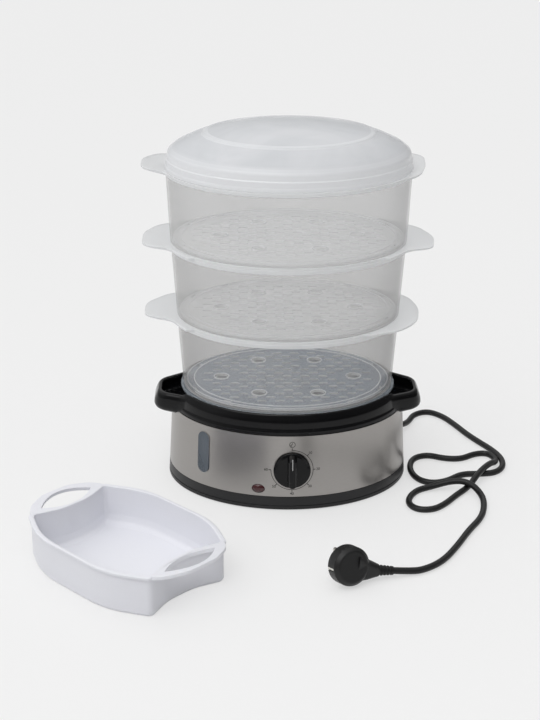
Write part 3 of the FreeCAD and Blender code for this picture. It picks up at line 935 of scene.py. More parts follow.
FINISHES: tuple[SolidFinish | ClearFinish, ...] = (
    SolidFinish(
        "charcoal_plastic", (0.011, 0.011, 0.012), (0.017, 0.017, 0.018), (0.32, 0.46),
        grain=1400, marks=0.25, specular=0.35,
    ),
    SolidFinish("foot_rubber", (0.012, 0.012, 0.012), (0.02, 0.02, 0.02), (0.6, 0.8), grain=1200),
    SolidFinish(
        "screw_steel", (0.5, 0.5, 0.51), (0.62, 0.62, 0.62), (0.22, 0.38), metallic=1.0, grain=700
    ),
    SolidFinish(
        "band_steel", (0.315, 0.3, 0.287), (0.395, 0.38, 0.366), (0.26, 0.35), metallic=1.0,
        grain=260, stretch=(1.0, 1.0, 22.0), marks=0.1, bump=0.03,
    ),
    SolidFinish(
        "black_gloss", (0.0025, 0.0025, 0.003), (0.004, 0.004, 0.0045), (0.1, 0.2), grain=500,
        marks=0.4, bump=0.01, specular=0.24,
    ),
    SolidFinish(
        "heater_aluminium", (0.45, 0.45, 0.46), (0.56, 0.56, 0.56), (0.35, 0.55), metallic=1.0,
        grain=500,
    ),
    SolidFinish("seal_silicone", (0.35, 0.13, 0.09), (0.4, 0.16, 0.12), (0.5, 0.62)),
    SolidFinish(
        "cutout_steel", (0.42, 0.42, 0.42), (0.55, 0.55, 0.54), (0.3, 0.45), metallic=1.0,
        grain=600,
    ),
    SolidFinish("grey_plastic", (0.16, 0.165, 0.17), (0.2, 0.205, 0.21), (0.38, 0.5), grain=1200),
    SolidFinish("timer_plastic", (0.62, 0.6, 0.55), (0.7, 0.68, 0.63), (0.4, 0.55)),
    SolidFinish(
        "lead_rubber", (0.006, 0.006, 0.0065), (0.011, 0.011, 0.011), (0.36, 0.5), grain=1600,
        specular=0.35,
    ),
    SolidFinish("pin_brass", (0.66, 0.65, 0.6), (0.78, 0.77, 0.72), (0.15, 0.28), metallic=1.0),
    SolidFinish("print_ink", (0.008, 0.008, 0.008), (0.012, 0.012, 0.012), (0.5, 0.6)),
    SolidFinish("print_white", (0.5, 0.5, 0.5), (0.56, 0.56, 0.56), (0.4, 0.5)),
    SolidFinish(
        "white_plastic", (0.76, 0.765, 0.81), (0.79, 0.795, 0.84), (0.34, 0.44), grain=600,
        marks=0.15, bump=0.02, scatter=0.15,
    ),
    SolidFinish(
        "red_lens", (0.035, 0.004, 0.005), (0.06, 0.007, 0.008), (0.1, 0.18), grain=500, bump=0.02,
        coat=0.3,
    ),
    ClearFinish("lamp_glass", (0.8, 0.5, 0.3), (0.85, 0.55, 0.35), (0.5, 0.6), 0.9),
    ClearFinish(
        "clear_window", (0.085, 0.105, 0.13), (0.11, 0.13, 0.155), (0.75, 0.8), 0.95, rough=0.12
    ),
    ClearFinish("tray_plastic", (0.3, 0.335, 0.37), (0.34, 0.375, 0.41), (0.3, 0.36), 0.6),
    # painted shade: the low colour darkens the lowest grid and tints it blue; the pale frost colour
    # is partly painted light
    ClearFinish(
        "grid_plastic", (0.81, 0.815, 0.82), (0.85, 0.855, 0.86), (0.46, 0.5), 0.68,
        frost=(0.88, 0.9, 0.92), frost_alpha=1.0, low=(0.26, 0.32, 0.4), low_span=(0.11, 0.17),
        low_alpha=1.7,
    ),
    # painted shade: the low colour darkens the baskets towards the bottom
    ClearFinish(
        "clear_plastic", (0.53, 0.53, 0.53), (0.6, 0.6, 0.595), (0.2, 0.25), 0.7,
        frost=(0.73, 0.74, 0.75), frost_alpha=0.92, low=(0.78, 0.77, 0.76), low_span=(0.13, 0.3),
        low_alpha=1.25,
    ),
    # painted light: the frost colour makes the lid's upright wall lighter
    ClearFinish(
        "frosted_plastic", (0.61, 0.625, 0.65), (0.66, 0.672, 0.695), (0.7, 0.78), 0.95,
        rough=0.22, frost=(0.79, 0.8, 0.82), frost_alpha=0.86,
    ),
)


def paint_frost(piece: Piece, rule: Callable[[Vector, Vector], float]) -> None:
    """Keep on each face how frosted it is.

    Args:
        piece: The piece.
        rule: Gives the frost from 0 to 1 for a face's centre in millimetres and its normal.
    """
    mesh = piece.data
    layer = mesh.attributes.new(FROST, "FLOAT", "FACE")
    layer.data.foreach_set("value", [rule(face.center / MM, face.normal) for face in mesh.polygons])


class Finishes:
    """All finishes by name, built once."""

    def __init__(self) -> None:
        """Build the shared groups and every material."""
        groups = ShaderGroups()
        self.by_name = {finish.name: finish.build(groups) for finish in FINISHES}

    def dress(self, piece: Piece, name: str) -> None:
        """Give a piece a finish as its only material."""
        piece.data.materials.clear()
        piece.data.materials.append(self.by_name[name])


class Maker(Protocol):
    """A sub-assembly that can build itself."""

    def build(self, finishes: Finishes, trees: Trees) -> None:
        """Make its pieces, dress them and set what they ride on.

        Args:
            finishes: The finishes.
            trees: The geometry-node trees.
        """


# ---------------------------------------------------------------- geometry-node trees
class ShapeTree(SharedTree):
    """Builder for a geometry-node tree that gives one dressed shape."""

    def __init__(self, name: str) -> None:
        """Start a tree with that name."""
        super().__init__(name, TreeKind.GEOMETRY)

    def along_z(self, number: Feed) -> Socket:
        """Vector with a number as its Z."""
        return self.add("ShaderNodeCombineXYZ", ("Z", number)).outputs[0]

    def copies(self, spots: Feed, shape: Feed) -> Socket:
        """The shape at every point of an object, turned by the point's own turn.

        Args:
            spots: The object with the points.
            shape: The shape.

        Returns:
            The copies, still as instances.
        """
        points = self.add("GeometryNodeObjectInfo", ("Object", spots)).outputs["Geometry"]
        turn = self.add("GeometryNodeInputNamedAttribute", data_type="FLOAT", Name=SPIN)
        copies = self.add(
            "GeometryNodeInstanceOnPoints", ("Points", points), ("Instance", shape),
            ("Rotation", self.along_z(turn.outputs["Attribute"])),
        )
        return copies.outputs["Instances"]

    def together(self, *shapes: Socket) -> Socket:
        """Shapes joined into one."""
        feeds = [("Geometry", shape) for shape in shapes]
        return self.add("GeometryNodeJoinGeometry", *feeds).outputs["Geometry"]

    def real(self, shape: Feed) -> Socket:
        """Shape whose instances are made real."""
        return self.add("GeometryNodeRealizeInstances", ("Geometry", shape)).outputs["Geometry"]

    def end(self, shape: Feed, material: Feed) -> bpy.types.GeometryNodeTree:
        """Realize instances, set the material and finish the tree.

        Args:
            shape: The shape.
            material: Its material.

        Returns:
            The tree.
        """
        dressed = self.add(
            "GeometryNodeSetMaterial", ("Geometry", self.real(shape)), ("Material", material)
        )
        self.output("Geometry", "Geometry", dressed.outputs["Geometry"])
        return self.tree


def run_tree(tree: bpy.types.GeometryNodeTree, name: str, values: dict[str, object]) -> Piece:
    """Make a plain mesh from a geometry-node tree.

    Args:
        tree: The tree.
        name: Name of the piece.
        values: Value of each named input.

    Returns:
        The piece, with no modifier left on it.
    """
    piece = mesh_piece(name, bpy.data.meshes.new(name))
    modifier = piece.modifiers.new("tree", "NODES")
    modifier.node_group = tree
    for item in tree.interface.items_tree:
        if item.item_type == "SOCKET" and item.in_out == "INPUT" and item.name in values:
            modifier[item.identifier] = values[item.name]
    settled(piece)
    bm = bmesh.new()
    bm.from_mesh(piece.data)
    bmesh.ops.recalc_face_normals(bm, faces=bm.faces)
    bm.to_mesh(piece.data)
    bm.free()
    smooth(piece.data, CREASE)
    return piece


def points_mesh(name: str, places: Sequence[Spot]) -> Piece:
    """Bare points, each with its turn kept as an attribute.

    Args:
        name: Name of the piece.
        places: The points in millimetres, each with a turn about Z in radians.

    Returns:
        The piece.
    """
    mesh = bpy.data.meshes.new(name)
    mesh.from_pydata([(x * MM, y * MM, z * MM) for x, y, z, _ in places], [], [])
    turn = mesh.attributes.new(SPIN, "FLOAT", "POINT")
    turn.data.foreach_set("value", [place[3] for place in places])
    return mesh_piece(name, mesh)


def plate_tree() -> bpy.types.GeometryNodeTree:
    """Oval plate pierced by the same slot at every point of an object.

    The inputs are Spots, Half Length, Aspect, Slot Length, Slot Width, Under, Thickness and
    Material.

    Returns:
        The tree.
    """
    rim_points, end_points, end_radius = 200, 3, 0.48  # the radius is a share of the slot's width
    tree = ShapeTree("pierced plate")
    spots = tree.input("Spots", "Object")
    half = tree.input("Half Length", "Float", 0.1)
    aspect = tree.input("Aspect", "Float", ASPECT)
    length = tree.input("Slot Length", "Float", 0.01)
    width = tree.input("Slot Width", "Float", 0.002)
    under = tree.input("Under", "Float", 0.1)
    thick = tree.input("Thickness", "Float", 0.002)
    material = tree.input("Material", "Material")
    narrow = tree.sum("MULTIPLY", half, aspect)
    size = tree.add("ShaderNodeCombineXYZ", ("X", half), ("Y", narrow), Z=1.0)
    rim = tree.add("GeometryNodeCurvePrimitiveCircle", Radius=1.0, Resolution=rim_points)
    oval = tree.add(
        "GeometryNodeTransform", ("Geometry", rim.outputs["Curve"]), ("Scale", size.outputs[0])
    )
    slot = tree.add("GeometryNodeCurvePrimitiveQuadrilateral", ("Width", length), ("Height", width))
    round_slot = tree.add(
        "GeometryNodeFilletCurve", ("Curve", slot.outputs["Curve"]),
        ("Radius", tree.sum("MULTIPLY", width, end_radius)), mode="POLY", Count=end_points,
    )
    slots = tree.real(tree.copies(spots, round_slot.outputs["Curve"]))
    outlines = tree.together(oval.outputs["Geometry"], slots)
    sheet = tree.add("GeometryNodeFillCurve", ("Curve", outlines), mode="TRIANGLES")
    low = tree.add(
        "GeometryNodeTransform", ("Geometry", sheet.outputs["Mesh"]),
        ("Translation", tree.along_z(under)),
    ).outputs["Geometry"]
    raised = tree.add(
        "GeometryNodeExtrudeMesh", ("Mesh", low), ("Offset", tree.along_z(thick)),
        Individual=False, Offset_Scale=1.0,
    )
    base = tree.add("GeometryNodeFlipFaces", ("Mesh", low))
    shell = tree.together(raised.outputs["Mesh"], base.outputs["Mesh"])
    welded = tree.add("GeometryNodeMergeByDistance", ("Geometry", shell), Distance=WELD)
    return tree.end(welded.outputs["Geometry"], material)


def copies_tree() -> bpy.types.GeometryNodeTree:
    """The same shape at every point of an object, turned by each point's own turn.

    The inputs are Spots, Shape and Material.

    Returns:
        The tree.
    """
    tree = ShapeTree("copies at spots")
    spots = tree.input("Spots", "Object")
    shape = tree.input("Shape", "Object")
    material = tree.input("Material", "Material")
    form = tree.add("GeometryNodeObjectInfo", ("Object", shape))
    return tree.end(tree.copies(spots, form.outputs["Geometry"]), material)


class Trees:
    """The geometry-node trees, each built once."""

    def __init__(self) -> None:
        """Build the trees."""
        self.plate = plate_tree()
        self.copies = copies_tree()

    def pierced(
        self, name: str, spots: Sequence[Spot], half: float, slot: Point2, under: float,
        thickness: float, material: bpy.types.Material,
    ) -> Piece:
        """Oval plate with slots, from sizes in millimetres.

        Args:
            name: Name of the plate.
            spots: Places of the slots.
            half: Half-length of the plate.
            slot: Length and width of a slot.
            under: Height of the plate's underside.
            thickness: Its thickness.
            material: Its material.

        Returns:
            The plate.
        """
        dots = points_mesh(name + "_spots", spots)
        sizes = {
            "Half Length": half, "Slot Length": slot[0], "Slot Width": slot[1], "Under": under,
            "Thickness": thickness,
        }
        values = {title: size * MM for title, size in sizes.items()}
        piece = run_tree(self.plate, name, {"Spots": dots, "Material": material, **values})
        scrap(dots)
        return piece

    def repeated(
        self, name: str, spots: Sequence[Spot], shape: Piece,
        material: bpy.types.Material,
    ) -> Piece:
        """Copies of a shape at spots in millimetres.

        Args:
            name: Name of the piece.
            spots: Places and turns of the copies.
            shape: The shape, which is used up.
            material: The piece's material.

        Returns:
            The piece.
        """
        dots = points_mesh(name + "_spots", spots)
        values = {"Spots": dots, "Shape": shape, "Material": material}
        piece = run_tree(self.copies, name, values)
        scrap(dots)
        scrap(shape)
        return piece


# ---------------------------------------------------------------- baskets
class TabForm(Enum):
    """Plan outline of a lifting tab towards +X, as (x, y, radius) corners, front first."""

    LEFT_BOTTOM = (
        (100.0, -62.0), (119.0, -27.0, 15.0), (146.5, -25.0, 15.0), (147.0, 14.0, 50.0),
        (124.0, 53.0, 50.0), (92.0, 70.0),
    )
    RIGHT_BOTTOM = (
        (80.0, -72.0), (112.0, -58.0, 70.0), (131.0, -32.0, 70.0), (135.5, 5.0, 90.0),
        (128.0, 42.0, 70.0), (108.0, 62.0, 70.0), (80.0, 74.0),
    )
    LEFT_MIDDLE = (
        (98.0, -66.0), (120.0, -32.0, 17.0), (147.0, -29.0, 16.0), (147.5, 14.0, 50.0),
        (134.0, 47.0, 46.0), (112.0, 64.0, 40.0), (94.0, 74.0),
    )
    RIGHT_MIDDLE = (
        (96.0, -66.0), (120.0, -36.0, 20.0), (143.0, -34.0, 17.0), (148.0, 3.0, 60.0),
        (136.0, 38.0, 46.0), (116.0, 60.0, 40.0), (96.0, 74.0),
    )
    LEFT_TOP = (
        (98.0, -54.0), (119.0, -19.0, 15.0), (146.5, -23.5, 15.0), (147.0, 14.0, 60.0),
        (132.0, 50.0, 46.0), (104.0, 66.0),
    )
    RIGHT_TOP = (
        (92.0, -58.0), (112.0, -44.0, 40.0), (128.0, -31.0, 34.0), (136.5, 4.0, 70.0),
        (138.5, 40.0, 36.0), (118.0, 66.0, 40.0), (96.0, 74.0),
    )


@dataclass(frozen=True)
class TabOutline:
    """A tab's rounded outline as a signed distance, and how far its tip rises."""

    points: tuple[Point2, ...]
    rise: float

    @classmethod
    def of(cls, form: TabForm, rise: float) -> TabOutline:
        """Outline of a form whose tip rises that far."""
        return cls(tuple(rounded(form.value, steps=8)), rise)

    def distance(self, p: Vector) -> float:
        """Signed distance of a plan point, negative inside the outline.

        Args:
            p: The point.

        Returns:
            The distance.
        """
        nearest, inside = math.inf, False
        for a, b in zip(self.points, self.points[1:] + self.points[:1]):
            nearest = min(nearest, segment_distance(p, Vector(a), Vector(b)))
            if (a[1] > p.y) != (b[1] > p.y):
                crossing = a[0] + (b[0] - a[0]) * (p.y - a[1]) / (b[1] - a[1])
                inside = inside != (p.x < crossing)
        return -nearest if inside else nearest


@dataclass
class SteamBasket:
    """One clear basket: spigot, shoulder, leaning wall, flange and two lifting tabs."""

    tier: TierSize
    left: TabOutline
    right: TabOutline
    spigot_in: float = 3.4
    spigot_high: float = 3.0
    wall: float = 2.0
    ledge_in: float = 6.0
    ledge_up: float = 1.1
    ledge_down: float = 0.9
    flange_high: float = 6.9
    flange_in: float = 0.6
    tab_thick: float = 2.6
    tab_from: float = 0.42
    tab_least: float = 0.5
    rise_start: float = 2.0
    rise_run: float = 24.0
    lip_a: float = 120.4
    lip_thick: float = 1.8
    lip_high: float = 2.7
    foot_frost: float = 0.35
    blend: float = 9.0
    segments: int = 300

    def tab_reach(self) -> list[float]:
        """Reach of flange and tabs at each point round the oval.

        Returns:
            The half-lengths.
        """
        flange = self.tier.flange
        outline = EaredOval(flange, self.right, self.left, self.blend)
        reaches = []
        for j in range(self.segments):
            t = TURN * j / self.segments
            plain = abs(math.cos(t)) < self.tab_from
            reaches.append(flange if plain else max(outline.reach(t), flange))
        return reaches

    def outside(self, ledge: float) -> list[Point2]:
        """Section of the outer wall, from the spigot's foot up to the tabs.

        Args:
            ledge: Height of the flange's upper face.

        Returns:
            The section's points.
        """
        tier = self.tier
        spigot, foot = tier.shoulder - self.spigot_in, tier.rest - self.spigot_high
        under = tier.top - self.flange_high
        corners = [
            (spigot - self.wall / 2, foot), (spigot, foot, 0.4), (spigot, tier.rest, 0.4),
            (tier.shoulder, tier.rest, 0.9), (tier.neck, under, 0.8),
            (tier.flange - 0.2, under + 0.3, 0.8), (tier.flange, ledge - self.tab_thick - 0.4),
        ]
        return rounded(corners, closed=False, steps=4)

    def inside(self, ledge: float) -> list[Point2]:
        """Section of the inner wall, from the flange down to the spigot's foot.

        Args:
            ledge: Height of the flange's upper face.

        Returns:
            The section's points.
        """
        tier, wall = self.tier, self.wall
        spigot, foot = tier.shoulder - self.spigot_in, tier.rest - self.spigot_high
        over, below = tier.rest + self.ledge_up, tier.rest - self.ledge_down
        if ledge < tier.top:
            lip, inner = self.lip_a, self.lip_a - self.lip_thick
            crown = [
                (tier.flange - 1.2, ledge), (lip, ledge, 0.3), (lip, tier.top, 0.5),
                (inner, tier.top, 0.5), (inner, ledge - 0.8, 1.0),
                (tier.neck - wall - 0.1, ledge - 4.2, 2.0),
            ]
        else:
            crown = [(tier.flange - 1.6, tier.top), (tier.neck - wall, tier.top, 1.2)]
        corners = [
            *crown, (tier.shoulder - wall, over, 1.4), (spigot - self.ledge_in, over, 0.4),
            (spigot - self.ledge_in, below, 0.4), (spigot - wall, below, 0.5),
            (spigot - wall, foot, 0.4),
        ]
        return rounded(corners, closed=False, steps=4)

    def rings(self) -> list[list[Vector]]:
        """The basket's closed section as rings, from the spigot up outside and down inside.

        Returns:
            The rings.
        """
        top_tier = self.tier is TIERS[-1]
        ledge = self.tier.top - self.lip_high if top_tier else self.tier.top
        under = -self.tab_thick
        edge = rounded(
            [(0.0, under, 0.0), (1.0, under, 0.9), (1.0, 0.0, 0.9), (0.0, 0.0, 0.0)],
            closed=False, steps=3,
        )
        reaches = self.tab_reach()
        rings = [oval_ring(a, z, self.segments) for a, z in self.outside(ledge)]
        rings += [self.tab_ring(reaches, share, ledge + drop) for share, drop in edge]
        rings += [oval_ring(a, z, self.segments) for a, z in self.inside(ledge)]
        return rings

    def tab_ring(self, reaches: list[float], share: float, height: float) -> list[Vector]:
        """Ring on the flange's edge, lifted towards the tips of the tabs.

        Args:
            reaches: Half-lengths of the outline round the oval.
            share: How far towards the outline the ring lies, from 0 to 1.
            height: Its height where it isn't lifted.

        Returns:
            The ring's points.
        """
        ring = []
        flange, drawn_in = self.tier.flange, (1.0 - share) * self.flange_in
        for j, reach in enumerate(reaches):
            t = TURN * j / self.segments
            a = flange + (reach - flange) * share - drawn_in
            if reach - flange < self.tab_least:
                a = flange - drawn_in
            tip = self.right.rise if math.cos(t) > 0.0 else self.left.rise
            past = max(0.0, a * abs(math.cos(t)) - flange + self.rise_start)
            z = height + tip * past / self.rise_run
            ring.append(Vector((a * math.cos(t), ASPECT * a * math.sin(t), z)))
        return ring

    def frost(self, centre: Vector, normal: Vector) -> float:
        """Frost on the flange and tabs, and along the lower edge.

        Args:
            centre: Centre of a face.
            normal: Its normal.

        Returns:
            The frost from 0 to 1.
        """
        tier = self.tier
        a = math.hypot(centre.x, centre.y / ASPECT)
        over = centre.z > tier.top - self.flange_high - 0.4
        if over and (a > tier.neck - 0.3 or normal.z > 0.5):
            return 1.0
        return self.foot_frost if centre.z < tier.rest + 1.4 else 0.0

    def build(self, finishes: Finishes, trees: Trees) -> None:
        """Make the basket."""
        name = "basket_" + self.tier.name
        piece = ring_surface(self.rings(), True, name + "_moulding", crease=40)
        paint_frost(piece, self.frost)
        finishes.dress(piece, "clear_plastic")
        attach(piece, name)
        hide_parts(name)


# ---------------------------------------------------------------- steam grids
@dataclass
class SteamGrid:
    """Lift-in grid: slots in staggered rows, ringed egg holes, two ribs and clip slots at the rim.

    The lowest grid also has a low bar behind each slot, a pale strip that stands for the slot's lit
    far wall as painted light.
    """

    tier: TierSize
    rim_gap: float = 2.6
    lift: float = 1.4
    thickness: float = 1.8
    slot: Point2 = (10.5, 2.2)
    pitch: float = 18.4
    row_pitch: float = 9.35
    rows: int = 7
    columns: int = 6
    plain_rim: float = 12.0
    plain_ring: float = 3.2
    egg_holes: tuple[Point2, ...] = ((-69, 0), (69, 0), (-30, -45), (30, -45), (-30, 45), (30, 45))
    egg_radius: float = 7.0
    egg_points: int = 40
    ring_wall: float = 1.4
    ring_high: float = 1.2
    clip_degrees: tuple[float, ...] = (23, 52, 128, 157, 203, 232, 308, 337)
    clip_in: float = 4.6
    clip_half: Point2 = (4.5, 1.6)
    ribs: tuple[Point2, ...] = ((8.0, 1.3), (1.0, 1.0))
    rib_high: float = 0.8
    bar_in: float = 0.8
    bar_wide: float = 0.6
    # frost on the lowest and on the upper grids, whose pale faces are partly painted light
    front_frost: tuple[float, float] = (1.0, 0.35)

    @property
    def half(self) -> float:
        """Half-length of the grid."""
        return self.tier.shoulder - self.rim_gap

    @property
    def under(self) -> float:
        """Height of the grid's underside."""
        return self.tier.rest + self.lift

    @property
    def top(self) -> float:
        """Height of the grid's upper face."""
        return self.under + self.thickness

    def slot_spots(self) -> list[Spot]:
        """Places of the steam slots, away from the rim and the egg holes.

        Returns:
            The places, with no turn.
        """
        spots = []
        long, wide = self.slot[0] / 2, self.slot[1] / 2
        for row in range(-self.rows, self.rows + 1):
            y = row * self.row_pitch
            for column in range(-self.columns, self.columns + 1):
                x = (column + (0.5 if row % 2 else 0.0)) * self.pitch
                reach = math.hypot(abs(x) + long, (abs(y) + wide) / ASPECT)
                clear = min(
                    math.hypot(max(abs(x - hx) - long, 0.0), y - hy) for hx, hy in self.egg_holes
                )
                in_rim = reach < self.half - self.plain_rim
                if in_rim and clear > self.egg_radius + self.plain_ring:
                    spots.append((x, y, 0.0, 0.0))
        return spots

    def clip_slots(self) -> list[list[Point2]]:
        """Plan outlines of the rim's clip slots.

        Returns:
            The outlines.
        """
        a = self.half - self.clip_in
        long, wide = self.clip_half
        outlines = []
        for degrees in self.clip_degrees:
            t = math.radians(degrees)
            x, y = a * math.cos(t), a * ASPECT * math.sin(t)
            turn = math.atan2(ASPECT * math.cos(t), -math.sin(t))
            c, s = math.cos(turn), math.sin(turn)
            box = ((-long, -wide), (long, -wide), (long, wide), (-long, wide))
            outlines.append([(x + u * c - v * s, y + u * s + v * c) for u, v in box])
        return outlines

    def cut_holes(self, sheet: Piece) -> None:
        """Cut the egg holes and clip slots.

        Args:
            sheet: The grid's sheet.
        """
        holes = [circle(spot, self.egg_radius, self.egg_points) for spot in self.egg_holes]
        outlines = holes + self.clip_slots()
        cutters = [prism(outline, self.under - 1, self.top + 1) for outline in outlines]
        combine(sheet, [joined(cutters, "grid_cutter")], Bool.CUT)

    def rim_ribs(self) -> list[Piece]:
        """Ribs that run round the rim.

        Returns:
            The ribs.
        """
        low, high = self.top - SUNK, self.top + self.rib_high
        ribs = []
        for inward, wide in self.ribs:
            a = self.half - inward
            section = [(a - wide, low), (a - wide, high, 0.3), (a, high, 0.3), (a, low)]
            ribs.append(oval_shell(section, "rib", 200, steps=3))
        return ribs

    def egg_rings(self, trees: Trees, material: bpy.types.Material) -> Piece:
        """Raised ring round every egg hole.

        Args:
            trees: The geometry-node trees.
            material: The grid's material.

        Returns:
            The rings as one piece.
        """
        hole, rim, high = self.egg_radius, self.egg_radius + self.ring_wall, self.ring_high
        section = [(hole, -SUNK), (rim, -SUNK), (rim - 0.1, high, 0.4), (hole, high, 0.4)]
        ring = oval_shell(section, "egg_ring", self.egg_points, aspect=1.0, steps=3)
        spots = [(x, y, self.top, 0.0) for x, y in self.egg_holes]
        return trees.repeated("egg_rings", spots, ring, material)

    def slot_bars(self, trees: Trees, material: bpy.types.Material) -> Piece:
        """Low pale bar behind every slot, which stands for the slot's lit far wall as painted
        light.

        Args:
            trees: The geometry-node trees.
            material: The grid's material.

        Returns:
            The bars as one piece.
        """
        half, wide = self.slot[0] / 2 - self.bar_in, self.bar_wide
        outline = [(-half, 0.0), (half, 0.0), (half - wide, wide), (wide - half, wide)]
        bar = prism(outline, -SUNK, wide, "slot_bar")
        spots = [(x, y + self.slot[1] / 2, self.top, 0.0) for x, y, _, _ in self.slot_spots()]
        return trees.repeated("slot_bars", spots, bar, material)

    def frost(self, centre: Vector, normal: Vector) -> float:
        """Frost on what faces the front or stands up from the sheet, less on the upper grids,
        partly frosted plastic and partly painted light on the lit slot walls.

        Args:
            centre: Centre of a face.
            normal: Its normal.

        Returns:
            The frost from 0 to 1.
        """
        # painted light: faces towards the front and raised faces are made paler, most on the lowest
        # grid
        lowest, upper = self.front_frost
        shows = normal.y < -0.5 or centre.z > self.top + 0.5
        return (lowest if self.tier is TIERS[0] else upper) if shows else 0.0

    def build(self, finishes: Finishes, trees: Trees) -> None:
        """Make the grid."""
        body = "grid_" + self.tier.name
        material = finishes.by_name["grid_plastic"]
        sheet = trees.pierced(
            body + "_sheet", self.slot_spots(), self.half, self.slot, self.under, self.thickness,
            material,
        )
        self.cut_holes(sheet)
        pieces = [sheet, *self.rim_ribs(), self.egg_rings(trees, material)]
        # painted light: pale bars behind the slots of the lowest grid stand for their lit far walls
        if self.tier is TIERS[0]:
            pieces.append(self.slot_bars(trees, material))
        piece = joined(pieces, body + "_plate")
        smooth(piece.data, CREASE)
        paint_frost(piece, self.frost)
        finishes.dress(piece, "grid_plastic")
        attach(piece, body)
        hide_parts(body)


# ---------------------------------------------------------------- black housing
@dataclass(frozen=True)
class ScoopLevel:
    """A scoop grip's plan outline at one height, in millimetres."""

    z: float
    tip: float
    half: float
    corner: float
    root: float
    start_x: float = 96.0
    front_spread: float = 14.0
    back_spread: float = 12.0
    neck_in: float = 25.0
    back_in: float = 10.0
    front_fillet: float = 13.0
    back_fillet: float = 24.0

    def outline(self) -> list[Point2]:
        """Outline towards +X, filleted into the collar and rounded at the tip.

        Returns:
            The outline's points.
        """
        neck, back = self.tip - self.neck_in, self.half - self.back_in
        corners = [
            (self.start_x, -self.root - self.front_spread), (neck, -self.root, self.front_fillet),
            (self.tip, -self.half, self.corner), (self.tip, back, self.corner),
            (neck - 2.0, self.root - 2.0, self.back_fillet),
            (self.start_x, self.root + self.back_spread),
        ]
        return rounded(corners, steps=14)


@dataclass
class HousingRim:
    """Black collar with its slope, upper edge and two hollow scoop grips, in one soft moulding.

    The rooms that the band and the bowl leave free of the grips are given as the inner and outer
    half-length, foot and head.
    """

    section: tuple[Corner, ...] = (
        (108.6, 80.0), (117.2, 80.0), (117.2, 76.2, 0.3), (119.2, 76.2, 0.3), (119.2, 80.9, 0.2),
        (120.8, 80.9, 0.5), (120.3, 85.2, 0.8), (119.1, 86.2, 0.6), (117.7, 94.5, 14),
        (113.6, 102.0, 1.2), (111.7, 102.0, 0.8), (111.7, 98.4, 0.3), (109.2, 98.4, 0.5),
        (108.6, 82.5, 0.5),
    )
    outer: tuple[ScoopLevel, ...] = (
        ScoopLevel(76.6, 132.6, 20.0, 15, 34), ScoopLevel(77.6, 135.4, 22.0, 17, 35),
        ScoopLevel(79.6, 137.9, 23.5, 18, 36), ScoopLevel(83.0, 139.2, 24.6, 19, 36.6),
        ScoopLevel(88.0, 138.6, 25.2, 19, 37), ScoopLevel(93.0, 136.8, 25.2, 19, 37),
        ScoopLevel(96.2, 135.2, 24.6, 19, 36.6), ScoopLevel(97.9, 133.4, 23.4, 18, 35.8),
    )
    inner: tuple[ScoopLevel, ...] = (
        ScoopLevel(83.0, 130.6, 18.0, 13, 30), ScoopLevel(85.0, 133.4, 20.0, 15, 31.5),
        ScoopLevel(92.0, 132.2, 20.8, 16, 32), ScoopLevel(96.2, 130.6, 20.6, 16, 32),
        ScoopLevel(98.0, 131.6, 21.6, 17, 33.6), ScoopLevel(102.8, 131.8, 21.8, 17, 33.8),
    )
    rooms: tuple[Corner, ...] = ((70.0, 121.8, 72.0, 80.8), (0.0, 112.6, 70.0, 110.0))
    voxel: float = 0.85
    rounds: int = 7

    @staticmethod
    def scoops(levels: Sequence[ScoopLevel]) -> list[Piece]:
        """Solids through the levels of the left and the right grip.

        Args:
            levels: The levels, from the lowest up.

        Returns:
            The two solids.
        """
        solids = []
        for side in (-1, 1):
            rings = [
                [Vector((side * x, y, level.z)) for x, y in level.outline()] for level in levels
            ]
            solids.append(ring_surface(rings, False, "scoop", cap_ends=True))
        return solids

    def build(self, finishes: Finishes, trees: Trees) -> None:
        """Make the rim."""
        piece = oval_shell(self.section, "collar", 400)
        grips = joined(self.scoops(self.outer), "grips")
        for inner, outer, low, high in self.rooms:
            section = [(inner, low), (outer, low), (outer, high), (inner, high)]
            combine(grips, [oval_shell(section, "room")], Bool.CUT)
        combine(piece, [grips], Bool.ADD)
        combine(piece, self.scoops(self.inner), Bool.CUT)
        remeshed(piece, self.voxel, self.rounds)
        piece.name = piece.data.name = "housing_rim"
        finishes.dress(piece, "black_gloss")
        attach(piece, "base")
        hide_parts("upper_housing")


@dataclass(frozen=True)
class PillBlock:
    """Solid with half-round ends that runs along Z of its own frame."""

    width: float
    height: float
    start: float
    end: float
    up: float

    def solid(self) -> Piece:
        """The solid, on the gauge's place in the band."""
        outline = pill_outline(self.width, self.height, self.up)
        return moved(prism(outline, self.start, self.end, "pill"), BAND.frame(*GAUGE_SPOT))


